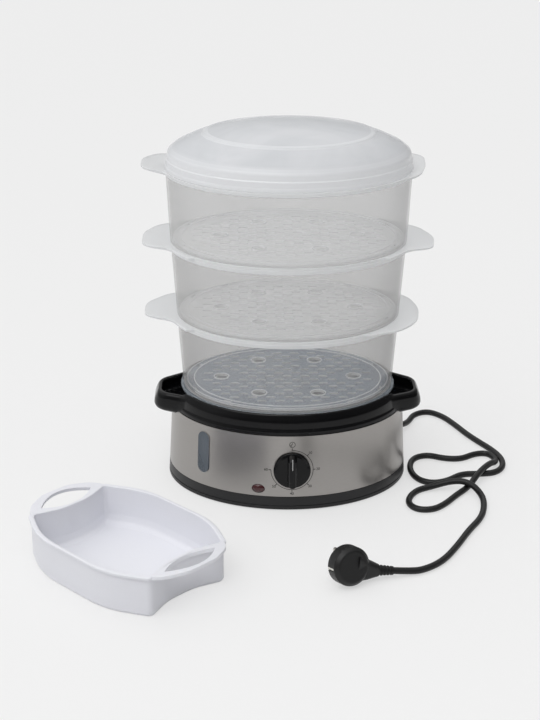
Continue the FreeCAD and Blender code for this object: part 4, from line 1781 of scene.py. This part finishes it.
@dataclass
class WaterTank:
    """Tank under the collar: shelf, oval bucket with a flat front, gauge duct and screw bosses."""

    shelf_a: float = 111.7
    shelf_z: float = 82.5
    top_a: float = 106.0
    floor_a: float = 98.0
    floor_z: float = 36.0
    floor_round: float = 8.0
    front_y: float = -52.0
    far: Point2 = (130.0, 120.0)
    wall: float = 2.5
    duct: PillBlock = PillBlock(16.0, 34.0, -36.0, -9.4, 4.5)
    bore: PillBlock = PillBlock(11.0, 29.0, -46.0, -9.0, 4.5)
    heater_hole: tuple[float, float, float] = (20.0, 30.0, 42.0)
    boss_spots: tuple[Point2, ...] = ((-59, -76.5), (59, -76.5), (-69, 70.5), (69, 70.5))
    boss: Point2 = (4.25, 4.5)
    drill: tuple[float, float, float] = (1.55, 4.0, 18.0)
    hole_points: int = 48

    def bucket(self, inset: float, top: float) -> Piece:
        """Solid of the tank.

        Args:
            inset: How far its walls and floor are drawn in.
            top: Its height.

        Returns:
            The solid.
        """
        low = self.floor_z + inset
        corners = [
            (0.0, low), (self.floor_a - inset, low, self.floor_round - inset),
            (self.top_a - inset, top), (0.0, top),
        ]
        solid = oval_shell(corners, "bucket", 200)
        front, (x, back) = self.front_y + inset, self.far
        keep = prism([(-x, front), (x, front), (x, back), (-x, back)], low - 5, top + 5)
        return combine(solid, [keep], Bool.KEEP)

    def round_block(self, spot: Point2, radius: float, z0: float, z1: float) -> Piece:
        """Upright round solid."""
        return prism(circle(spot, radius, self.hole_points), z0, z1, "round")

    def build(self, finishes: Finishes, trees: Trees) -> None:
        """Make the tank."""
        a, top = self.shelf_a, self.shelf_z
        low = top - self.wall
        piece = oval_shell([(0.0, low), (a, low), (a, top), (0.0, top)], "shelf", 200)
        combine(piece, [self.bucket(0.0, top - 0.05)], Bool.ADD)
        combine(piece, [self.duct.solid()], Bool.ADD)
        for spot in self.boss_spots:
            combine(piece, [self.round_block(spot, *self.boss, top - 1.5)], Bool.ADD)
        combine(piece, [self.bucket(self.wall, top + 0.1)], Bool.CUT)
        heater = self.round_block((0.0, 0.0), *self.heater_hole)
        combine(piece, [self.bore.solid(), heater], Bool.CUT)
        for spot in self.boss_spots:
            combine(piece, [self.round_block(spot, *self.drill)], Bool.CUT)
        piece.name = piece.data.name = "water_tank"
        finishes.dress(piece, "black_gloss")
        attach(piece, "base")
        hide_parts("upper_housing")


# ---------------------------------------------------------------- drip tray
@dataclass
class DripTray:
    """Shallow clear tray inside the collar, with a chimney in its middle for the steam."""

    rim: float = 111.3
    chimney: float = 36.6

    def build(self, finishes: Finishes, trees: Trees) -> None:
        """Make the tray."""
        rim, chimney = self.rim, self.chimney
        section = [
            (rim, 98.7, 0.4), (rim, 101.2, 0.6), (106.9, 101.2, 0.6), (105.6, 90.2, 3),
            (chimney + 0.8, 92.0, 1.5), (chimney, 95.4, 0.6), (chimney - 1.6, 95.4, 0.6),
            (chimney - 0.7, 90.4, 1.0), (107.0, 88.4, 4), (108.4, 98.7, 0.5),
        ]
        piece = oval_shell(section, "drip_tray_moulding", 260)
        finishes.dress(piece, "tray_plastic")
        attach(piece, "drip_tray")
        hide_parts("drip_tray")


# ---------------------------------------------------------------- rice bowl
@dataclass
class RiceBowl:
    """White rice bowl: bulging sides, hollow ends, soft corners, slim rim and two raised grips.

    Its plan's quarter has a corner in the middle of the side, at the bowl's corner and in its
    hollow end. The insets say how much faster than the wall each place is drawn in.
    """

    place: Point3 = (-156.1, -215.2, 0.0)
    turn_degrees: float = -45.0
    height: float = 41.0
    side: Corner = (46.0, 66.5, 110.0)
    side_inset: float = 1.2
    corner: Point2 = (85.5, 45.5)
    corner_inset: Point2 = (1.15, 0.85)
    corner_rounds: Point2 = (6.5, 5.0)
    end: Corner = (75.5, 16.0, 55.0)
    room: Point2 = (4.0, 53.0)
    grip_thick: float = 3.4
    grip_tilt: float = 7.5
    grip_plan: tuple[Corner, ...] = (
        (76.0, 51.0), (76.0, -51.0), (95.5, -38.6, 30), (105.4, -16, 24), (105.4, 16, 24),
        (95.5, 38.6, 30),
    )
    grip_middle: float = 90.7
    grip_half: Point2 = (14.7, 51.0)
    hinge_x: float = 82.0
    lens_x: float = 87.5
    lens_half: float = 31.0
    lens_controls: Point2 = (66.3, 114.1)
    lens_steps: int = 18
    section: tuple[Corner, ...] = (
        (6.0, 0.0), (1.4, 0.0, 1.0), (0.0, 2.6, 1.6), (0.0, 37.0, 0.5), (-1.5, 37.8, 0.5),
        (-1.8, 41.0, 1.3), (2.2, 41.0, 1.3), (3.2, 12.0, 6.0), (5.0, 4.8, 4.0), (10.0, 2.6, 3.0),
        (14.0, 2.6),
    )

    def outline(self, inset: float) -> list[Point2]:
        """Plan of the bowl.

        Args:
            inset: How far its wall is drawn in.

        Returns:
            The outline's points.
        """
        outer, inner = self.corner_rounds
        radius = outer if inset < 2.0 else inner
        (side_x, side_y, bulge), (end_x, end_y, hollow) = self.side, self.end
        (x, y), (x_in, y_in) = self.corner, self.corner_inset
        quarter = [
            (side_x - self.side_inset * inset, side_y - inset, bulge),
            (x - x_in * inset, y - y_in * inset, radius), (end_x - inset, end_y, hollow),
        ]
        right = quarter + [(x, -y, r) for x, y, r in reversed(quarter)]
        return rounded(right + [(-x, -y, r) for x, y, r in right], steps=9)

    def lens(self) -> list[Point2]:
        """Lens-shaped opening of a grip.

        Returns:
            The opening's points.
        """
        points = []
        for control, side in zip(self.lens_controls, (1.0, -1.0)):
            for k in range(self.lens_steps):
                s = k / self.lens_steps
                x = self.lens_x + 2.0 * s * (1.0 - s) * (control - self.lens_x)
                points.append((x, side * self.lens_half * (1.0 - 2.0 * s)))
        return points

    def grip(self, side: int) -> Piece:
        """Raised hand-hold at one end.

        Args:
            side: 1 for the end at +X and -1 for the other.

        Returns:
            The hand-hold.
        """
        top, under = self.height, self.height - self.grip_thick
        plan = rounded(self.grip_plan, steps=10)
        edge = [(1.2, under), (0.0, under, 0.8), (0.0, top, 0.8), (1.2, top)]
        middle, (reach, spread) = self.grip_middle, self.grip_half
        rings = []
        for inset, z in rounded(edge, closed=False, steps=3):
            long, wide = 1.0 - inset / reach, 1.0 - inset / spread
            rings.append([Vector((middle + (x - middle) * long, y * wide, z)) for x, y in plan])
        plate = ring_surface(rings, False, "grip", crease=40, cap_ends=True)
        combine(plate, [prism(self.lens(), top - 9.0, top + 4.0)], Bool.CUT)
        hinge = Matrix.Translation((self.hinge_x, 0.0, top))
        tilt = hinge @ Matrix.Rotation(math.radians(-self.grip_tilt), 4, "Y") @ hinge.inverted()
        turned_round = Matrix.Rotation(math.pi if side < 0 else 0.0, 4, "Z")
        return moved(plate, turned_round @ tilt)

    def build(self, finishes: Finishes, trees: Trees) -> None:
        """Make the bowl."""
        section = rounded(self.section, closed=False, steps=4)
        rings = [[Vector((x, y, z)) for x, y in self.outline(inset)] for inset, z in section]
        piece = ring_surface(rings, False, "rice_bowl_moulding", crease=40, cap_ends=True)
        room = prism(self.outline(1.0), *self.room)
        grips = joined([self.grip(side) for side in (-1, 1)], "grips")
        combine(grips, [room], Bool.CUT)
        combine(piece, [grips], Bool.ADD, crease=40)
        turn = Matrix.Rotation(math.radians(self.turn_degrees), 4, "Z")
        moved(piece, Matrix.Translation(self.place) @ turn)
        finishes.dress(piece, "white_plastic")
        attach(piece, "rice_bowl")
        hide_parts("rice_bowl")


# ---------------------------------------------------------------- lid
@dataclass
class Lid:
    """Frosted lid: skirt round the top tier's lip, rounded shoulder, dome and raised oval panel."""

    foot: float = 330.6
    seat: float = 333.2
    # painted light: the upright wall is made lighter up to this height, fading out over the next
    # field
    frost_top: float = 354.0
    frost_fade: float = 9.0
    panel_edge: Point2 = (80.0, 87.5)
    panel_frost: float = 0.5

    def section(self) -> list[Corner]:
        """The lid's section, from the skirt up over the dome and back down inside.

        Returns:
            The section's corners.
        """
        return [
            (120.7, self.foot, 0.2), (123.3, self.foot, 0.7), (123.2, 333.6, 1.2),
            (122.7, 335.0, 1.0), (122.8, 340.2, 0.7), (121.7, 341.4, 0.9), (120.9, 347.6, 6.0),
            (113.5, 353.6, 26), (97.0, 361.3, 50), (86.8, 364.7, 2.5), (84.4, 366.3, 1.6),
            (80.5, 367.1, 2.5), (56.0, 371.5, 110), (26.0, 374.7, 150), (0.0, 375.3),
            (0.0, 373.3), (26.0, 372.7, 150), (56.0, 369.6, 110), (80.0, 365.3, 2.5),
            (83.4, 364.6, 1.6), (85.8, 362.9, 2.5), (96.4, 359.5, 50), (112.4, 351.9, 26),
            (120.0, 345.4, 3), (120.5, 342.4), (119.4, self.seat, 0.2), (120.7, self.seat, 0.2),
        ]

    def frost(self, centre: Vector, normal: Vector) -> float:
        """Painted light as frost on the upright wall, fading into the dome, and frost on the
        panel's edge.

        Args:
            centre: Centre of a face.
            normal: Its normal, which makes no difference.

        Returns:
            The frost from 0 to 1.
        """
        a = math.hypot(centre.x, centre.y / ASPECT)
        inner, outer = self.panel_edge
        # painted light: the wall is whiter and more opaque to stand for the light that it gets
        wall = min(1.0, (self.frost_top - centre.z) / self.frost_fade)
        return max(0.0, wall, self.panel_frost if inner < a < outer else 0.0)

    def build(self, finishes: Finishes, trees: Trees) -> None:
        """Make the lid."""
        piece = oval_shell(self.section(), "lid_dome", 320, crease=30, steps=7)
        paint_frost(piece, self.frost)
        finishes.dress(piece, "frosted_plastic")
        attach(piece, "lid")
        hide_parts("lid")


# ---------------------------------------------------------------- print on the band
def text_piece(text: str, size: float, bold: float = 0.04) -> Piece:
    """Flat mesh of a plain word, centred about its own origin.

    Args:
        text: The word.
        size: Its size in millimetres.
        bold: How far its strokes are widened, in millimetres.

    Returns:
        The word.
    """
    curve = bpy.data.curves.new("word", "FONT")
    curve.body = text
    curve.size = size * MM
    curve.align_x = "CENTER"
    curve.align_y = "CENTER"
    curve.offset = bold * MM
    holder = bpy.data.objects.new("word", curve)
    bpy.context.scene.collection.objects.link(holder)
    mesh = evaluated_mesh(holder)
    bpy.data.objects.remove(holder)
    bpy.data.curves.remove(curve)
    return mesh_piece("word", mesh)


def place_print(pieces: Sequence[Piece], name: str, finishes: Finishes) -> None:
    """Join printed pieces into one that stays on the base.

    Args:
        pieces: The pieces, which are used up.
        name: Name of the print.
        finishes: The finishes.
    """
    piece = joined(pieces, name)
    finishes.dress(piece, "print_ink")
    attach(piece, "base")


@dataclass
class DialPrint:
    """Timer dial printed on the band: arc, ticks, minutes and a clock sign over it."""

    minutes: tuple[int, ...] = (0, 10, 20, 30, 40, 50, 60)
    step_degrees: float = 45.0
    arc_radius: float = 21.2
    arc_steps: int = 90
    line: float = 0.6
    tick: float = 2.4
    tick_line: float = 0.78
    number_radius: float = 25.6
    number_size: float = 3.9
    wide_numbers: tuple[int, ...] = (20, 60)
    wide_out: float = 0.6
    zero_left: float = 1.2
    clock: Point2 = (0.2, 27.4)
    clock_radius: float = 2.8
    clock_steps: int = 32
    hands: tuple[Point2, ...] = ((-0.2, 1.7), (0.0, 0.0), (-1.3, 0.0))
    lift: float = 0.05

    def frame(self, u: float, v: float) -> Matrix:
        """Frame just over the band, across and up from the knob's centre."""
        frame = BAND.frame(KNOB_SPOT[0] + u, KNOB_SPOT[1] + v)
        return frame @ Matrix.Translation((0.0, 0.0, self.lift))

    def ribbon(self, points: Sequence[Point2], width: float) -> Piece:
        """Printed line laid on the band.

        Args:
            points: Points that it runs through, from the knob's centre.
            width: Its width.

        Returns:
            The line.
        """
        bm = bmesh.new()
        rows = []
        for i, (u, v) in enumerate(points):
            before = Vector(points[max(i - 1, 0)])
            after = Vector(points[min(i + 1, len(points) - 1)])
            along = (after - before).normalized()
            side = Vector((-along.y, along.x)) * width / 2.0
            places = [self.frame(u + s * side.x, v + s * side.y).translation for s in (-1, 1)]
            rows.append([bm.verts.new(place * MM) for place in places])
        for (a, b), (c, d) in zip(rows, rows[1:]):
            bm.faces.new((a, b, d, c))
        return bare_piece(bm, "line")

    def spoke(self, degrees: float, start: float, end: float) -> list[Point2]:
        """Two points of a tick at degrees clockwise from the top."""
        t = math.radians(degrees)
        return [(r * math.sin(t), r * math.cos(t)) for r in (start, end)]

    def sweep(self, centre: Point2, radius: float, end: float, count: int) -> list[Point2]:
        """Points of an arc clockwise from the top, to an end in degrees."""
        turns = [math.radians(end * k / count) for k in range(count + 1)]
        return [(centre[0] + radius * math.sin(t), centre[1] + radius * math.cos(t)) for t in turns]

    def number(self, minute: int, turn: float) -> Piece:
        """Printed number beside its tick.

        Args:
            minute: The number.
            turn: The tick's place, in degrees clockwise from the top.

        Returns:
            The number.
        """
        out = self.number_radius + (self.wide_out if minute in self.wide_numbers else 0.0)
        u, v = self.spoke(turn, 0.0, out)[1]
        left = self.zero_left if minute == 0 else 0.0
        return moved(text_piece(str(minute), self.number_size), self.frame(u - left, v))

    def build(self, finishes: Finishes, trees: Trees) -> None:
        """Print the dial."""
        last = self.step_degrees * (len(self.minutes) - 1)
        dial = self.sweep((0.0, 0.0), self.arc_radius, last, self.arc_steps)
        pieces = [self.ribbon(dial, self.line)]
        for k, minute in enumerate(self.minutes):
            turn = k * self.step_degrees
            tick = self.spoke(turn, self.arc_radius, self.arc_radius + self.tick)
            pieces.append(self.ribbon(tick, self.tick_line))
            pieces.append(self.number(minute, turn))
        x, y = self.clock
        face = self.sweep(self.clock, self.clock_radius, 360.0, self.clock_steps)
        pieces.append(self.ribbon(face, self.line))
        pieces.append(self.ribbon([(x + u, y + v) for u, v in self.hands], self.line))
        place_print(pieces, "dial_print", finishes)


@dataclass
class KnobPointer:
    """Light grey line along the upper half of the knob's grip."""

    width: float = 0.7
    start: float = 5.0
    end: float = 16.6
    front: float = 13.35
    depth: float = 0.5

    def build(self, finishes: Finishes, trees: Trees) -> None:
        """Make the line."""
        half, low, high = self.width / 2.0, self.start, self.end
        outline = [(-half, low), (half, low), (half, high), (-half, high)]
        bar = prism(outline, self.front - self.depth, self.front, "knob_pointer")
        moved(bar, BAND.frame(*KNOB_SPOT))
        finishes.dress(bar, "print_white")
        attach(bar, "knob")


# ---------------------------------------------------------------- water gauge
@dataclass
class WaterGauge:
    """Light rim round the gauge window, a little narrower at its foot, and a level mark."""

    width: float = 13.8
    height: float = 43.9
    taper: float = 1.0
    rim: float = 1.5
    rim_section: tuple[Point2, ...] = ((1.0, 0.0), (1.0, 0.25), (0.0, 0.55), (0.0, -0.2))
    mark_up: float = 15.5
    mark_out: float = 0.62
    mark_size: float = 4.0

    def build(self, finishes: Finishes, trees: Trees) -> None:
        """Make the window's rim and the mark."""
        frame = BAND.frame(*GAUGE_SPOT)
        rings = []
        for share, z in self.rim_section:
            wider = share * self.rim
            outline = pill_outline(self.width + wider, self.height + wider, 0.0, self.taper)
            rings.append([Vector((x, y, z)) for x, y in outline])
        rim = moved(ring_surface(rings, True, "gauge_rim", crease=50), frame)
        finishes.dress(rim, "band_steel")
        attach(rim, "base")
        place = frame @ Matrix.Translation((0.0, self.mark_up, self.mark_out))
        word = moved(text_piece("MAX", self.mark_size), place)
        place_print([word], "gauge_mark", finishes)


# ---------------------------------------------------------------- order of making
def makers() -> list[Maker]:
    """Every sub-assembly, in the order in which it is built.

    Returns:
        The sub-assemblies.
    """
    tabs = (
        (TabOutline.of(TabForm.LEFT_BOTTOM, 3.0), TabOutline.of(TabForm.RIGHT_BOTTOM, 1.0)),
        (TabOutline.of(TabForm.LEFT_MIDDLE, 2.4), TabOutline.of(TabForm.RIGHT_MIDDLE, 1.0)),
        (TabOutline.of(TabForm.LEFT_TOP, 5.6), TabOutline.of(TabForm.RIGHT_TOP, 2.4)),
    )
    parts: list[Maker] = [
        HousingRim(), WaterTank(), DripTray(), Lid(), RiceBowl(), DialPrint(), KnobPointer(),
        WaterGauge(),
    ]
    for tier, (left, right) in zip(TIERS, tabs):
        parts += [SteamBasket(tier, left, right), SteamGrid(tier)]
    return parts


# ---------------------------------------------------------------- lead
@dataclass
class MainsLead:
    """The lead: one smooth line on the table from the strain relief to the plug."""

    diameter: float = 6.5
    length: float = 0.985
    order: int = 3
    steps: int = 8
    round_steps: int = 6
    points: tuple[Point3, ...] = (
        (118.77, 79.03, 10.5), (126.1, 85.8, 10.5), (134.5, 96, 6.4), (142, 111, 3.3),
        (149, 130, 3.3), (166, 140, 3.3), (182, 126, 3.3), (194, 100, 3.3), (206, 69, 3.3),
        (231, 24, 3.3), (233, -5, 3.3), (222, -23, 3.3), (204, -26, 3.3), (184, -26, 3.3),
        (167, -43, 3.3), (149, -48, 3.3), (135, -37, 3.3), (130, -12, 3.3), (136, 13, 3.3),
        (153, 22, 3.3), (171, 12, 3.3), (189, 11, 3.3), (205, 24, 3.3), (219, 25.5, 3.3),
        (225.5, 13, 3.3), (224, -2, 5.5), (215, -16, 10.9), (200, -39, 10.9), (188, -57, 3.7),
        (172, -76, 3.3), (159, -95, 3.3), (145, -108, 3.3), (127, -107, 3.3), (120, -89, 3.3),
        (131, -65, 3.3), (149, -57, 4.2), (171, -57, 10.9), (188, -61, 10.9), (199, -77, 4.2),
        (198, -100, 3.3), (191, -126, 3.3), (175, -152, 3.3), (160, -183, 3.3), (142, -214, 3.3),
        (121, -231, 3.4), (106, -234.6, 4.8), (92.3, -237.5, 7),
    )

    def build(self, finishes: Finishes) -> None:
        """Lay the lead.

        Args:
            finishes: The finishes.
        """
        curve = bpy.data.curves.new("mains_lead", "CURVE")
        curve.dimensions = "3D"
        spline = curve.splines.new("NURBS")
        spline.points.add(len(self.points) - 1)
        for spot, (x, y, z) in zip(spline.points, self.points):
            spot.co = (x * MM, y * MM, z * MM, 1.0)
        spline.order_u = self.order
        spline.use_endpoint_u = True
        spline.resolution_u = self.steps
        curve.bevel_depth = self.diameter / 2 * MM
        curve.bevel_resolution = self.round_steps
        curve.use_fill_caps = True
        lead = bpy.data.objects.new("mains_lead", curve)
        bpy.context.scene.collection.objects.link(lead)
        finishes.dress(lead, "lead_rubber")
        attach(lead, "base")
        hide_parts("power_cord")
        LOG.info("mains_lead: %d points", len(self.points))


# ---------------------------------------------------------------- studio
@dataclass(frozen=True)
class Fade:
    """Brightness of the room along one axis: the range of the axis, and what it fades between."""

    axis: str
    start: Point2
    levels: Point2

    def build(self, tree: NodeTree, room: bpy.types.Node) -> Socket:
        """The brightness as a soft fade over the direction that the room's node gives."""
        place = room.outputs[self.axis]
        return tree.spread(place, self.start, self.levels, interpolation_type="SMOOTHSTEP")


@dataclass
class Studio:
    """Camera, floor and even studio light. Angles are in degrees, places in metres."""

    eye: Point3 = (-0.04514, -1.50199, 0.72206)
    down: float = 21.728
    yaw: float = -1.023
    roll: float = 0.203
    lens: float = 103.37
    sensor: float = 36.0
    clip: tuple[float, float] = (0.05, 200.0)
    floor_half: float = 60.0
    floor_shade: float = 0.8
    floor_seen: float = 0.34
    floor_glow: float = 0.53
    floor_rough: float = 0.9
    height_fade: Fade = Fade("Z", (0.1, 0.8), (0.42, 1.1))
    front_fade: Fade = Fade("Y", (-0.25, -0.85), (1.0, 0.3))
    right_fade: Fade = Fade("X", (0.1, 0.9), (1.0, 0.3))
    key_energy: float = 0.8
    key_angle: float = 50.0
    key_turn: Point3 = (28.0, -24.0, 0.0)
    box_energy: float = 4.0
    box_size: Point2 = (1.2, 0.45)
    box_place: Point3 = (-0.1, -1.35, 1.35)
    box_turn: Point3 = (48.0, 0.0, 0.0)
    clear_bounces: int = 64

    def camera(self) -> None:
        """Place the camera."""
        data = bpy.data.cameras.new("studio_camera")
        data.sensor_fit = "HORIZONTAL"
        data.sensor_width = self.sensor
        data.lens = self.lens
        data.clip_start, data.clip_end = self.clip
        down, yaw, roll = (math.radians(v) for v in (self.down, self.yaw, self.roll))
        ahead = Matrix.Rotation(yaw, 3, "Z") @ Vector((0.0, math.cos(down), -math.sin(down)))
        level = ahead.cross(Vector((0.0, 0.0, 1.0))).normalized()
        above = level.cross(ahead)
        right = level * math.cos(roll) + above * math.sin(roll)
        camera = bpy.data.objects.new("studio_camera", data)
        camera.matrix_world = axes_frame(Vector(self.eye), right, -ahead)
        bpy.context.scene.collection.objects.link(camera)
        bpy.context.scene.camera = camera

    def floor(self) -> None:
        """Lay a plain pale floor, which the camera and clear pieces see as brighter."""
        h = self.floor_half
        bm = bmesh.new()
        bm.faces.new([bm.verts.new((x, y, 0.0)) for x, y in ((-h, -h), (h, -h), (h, h), (-h, h))])
        floor = bare_piece(bm, "studio_floor")
        nodes = MaterialTree("studio_floor")
        rough, shade, seen = self.floor_rough, self.floor_shade, self.floor_seen
        nodes.shade(Base_Color=(shade, shade, shade, 1.0), Roughness=rough, Specular_IOR_Level=0.0)
        bright = nodes.add(
            "ShaderNodeBsdfPrincipled", Base_Color=(seen, seen, seen, 1.0), Roughness=rough,
            Specular_IOR_Level=0.0, Emission_Color=(1.0, 1.0, 1.0, 1.0),
            Emission_Strength=self.floor_glow,
        )
        rays = nodes.add("ShaderNodeLightPath").outputs
        direct = nodes.sum("MAXIMUM", rays["Is Camera Ray"], rays["Is Glossy Ray"])
        mix = nodes.add(
            "ShaderNodeMixShader", (0, nodes.sum("MAXIMUM", direct, rays["Is Transmission Ray"])),
            (1, nodes.shader.outputs["BSDF"]), (2, bright.outputs["BSDF"]),
        )
        nodes.feed(nodes.tree.nodes["Material Output"].inputs["Surface"], mix.outputs["Shader"])
        floor.data.materials.append(nodes.material)

    def lamp(self, light: bpy.types.Light, turn: Point3, place: Point3 = (0.0, 0.0, 0.0)) -> None:
        """Hang a lamp.

        Args:
            light: Its light.
            turn: How far it is turned about X, Y and Z, in degrees.
            place: Where it hangs.
        """
        lamp = bpy.data.objects.new(light.name, light)
        lamp.location = place
        lamp.rotation_euler = [math.radians(v) for v in turn]
        bpy.context.scene.collection.objects.link(lamp)

    def light(self) -> None:
        """Light the room from above, less in front and to the right, with a sun and a soft box."""
        world = bpy.data.worlds.new("studio_room")
        bpy.context.scene.world = world
        world.use_nodes = True
        tree = NodeTree(world.node_tree)
        direction = tree.add("ShaderNodeTexCoord").outputs["Generated"]
        room = tree.add("ShaderNodeSeparateXYZ", ("Vector", direction))
        height, front, side = (
            fade.build(tree, room) for fade in (self.height_fade, self.front_fade, self.right_fade)
        )
        strength = tree.sum("MULTIPLY", tree.sum("MULTIPLY", height, front), side)
        background = world.node_tree.nodes["Background"]
        tree.feed(background.inputs["Strength"], strength)
        tree.feed(background.inputs["Color"], (1.0, 1.0, 1.0, 1.0))
        key = bpy.data.lights.new("studio_key", "SUN")
        key.energy = self.key_energy
        key.angle = math.radians(self.key_angle)
        self.lamp(key, self.key_turn)
        box = bpy.data.lights.new("studio_box", "AREA")
        box.shape = "RECTANGLE"
        box.size, box.size_y = self.box_size
        box.energy = self.box_energy
        self.lamp(box, self.box_turn, self.box_place)

    def build(self) -> None:
        """Set up the whole studio."""
        scene = bpy.context.scene
        scene.view_settings.view_transform = "Standard"
        scene.cycles.transparent_max_bounces = self.clear_bounces
        self.camera()
        self.floor()
        self.light()


def dress_frame(frame: dict, finishes: Finishes) -> None:
    """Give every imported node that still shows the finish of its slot.

    Args:
        frame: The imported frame.
        finishes: The finishes.
    """
    slots = {row["node"]: row["material_slot"] for row in frame["record"]["subparts"]}
    for name, node in frame["nodes"].items():
        finishes.dress(node, slots[name])


def main() -> None:
    """Build the steamer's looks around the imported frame."""
    logging.basicConfig(level=logging.INFO, format="%(message)s")
    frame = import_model()
    finishes = Finishes()
    dress_frame(frame, finishes)
    Studio().build()
    MainsLead().build(finishes)
    trees = Trees()
    for maker in makers():
        maker.build(finishes, trees)
        LOG.info("built %s", type(maker).__name__)


if __name__ == "__main__":
    main()
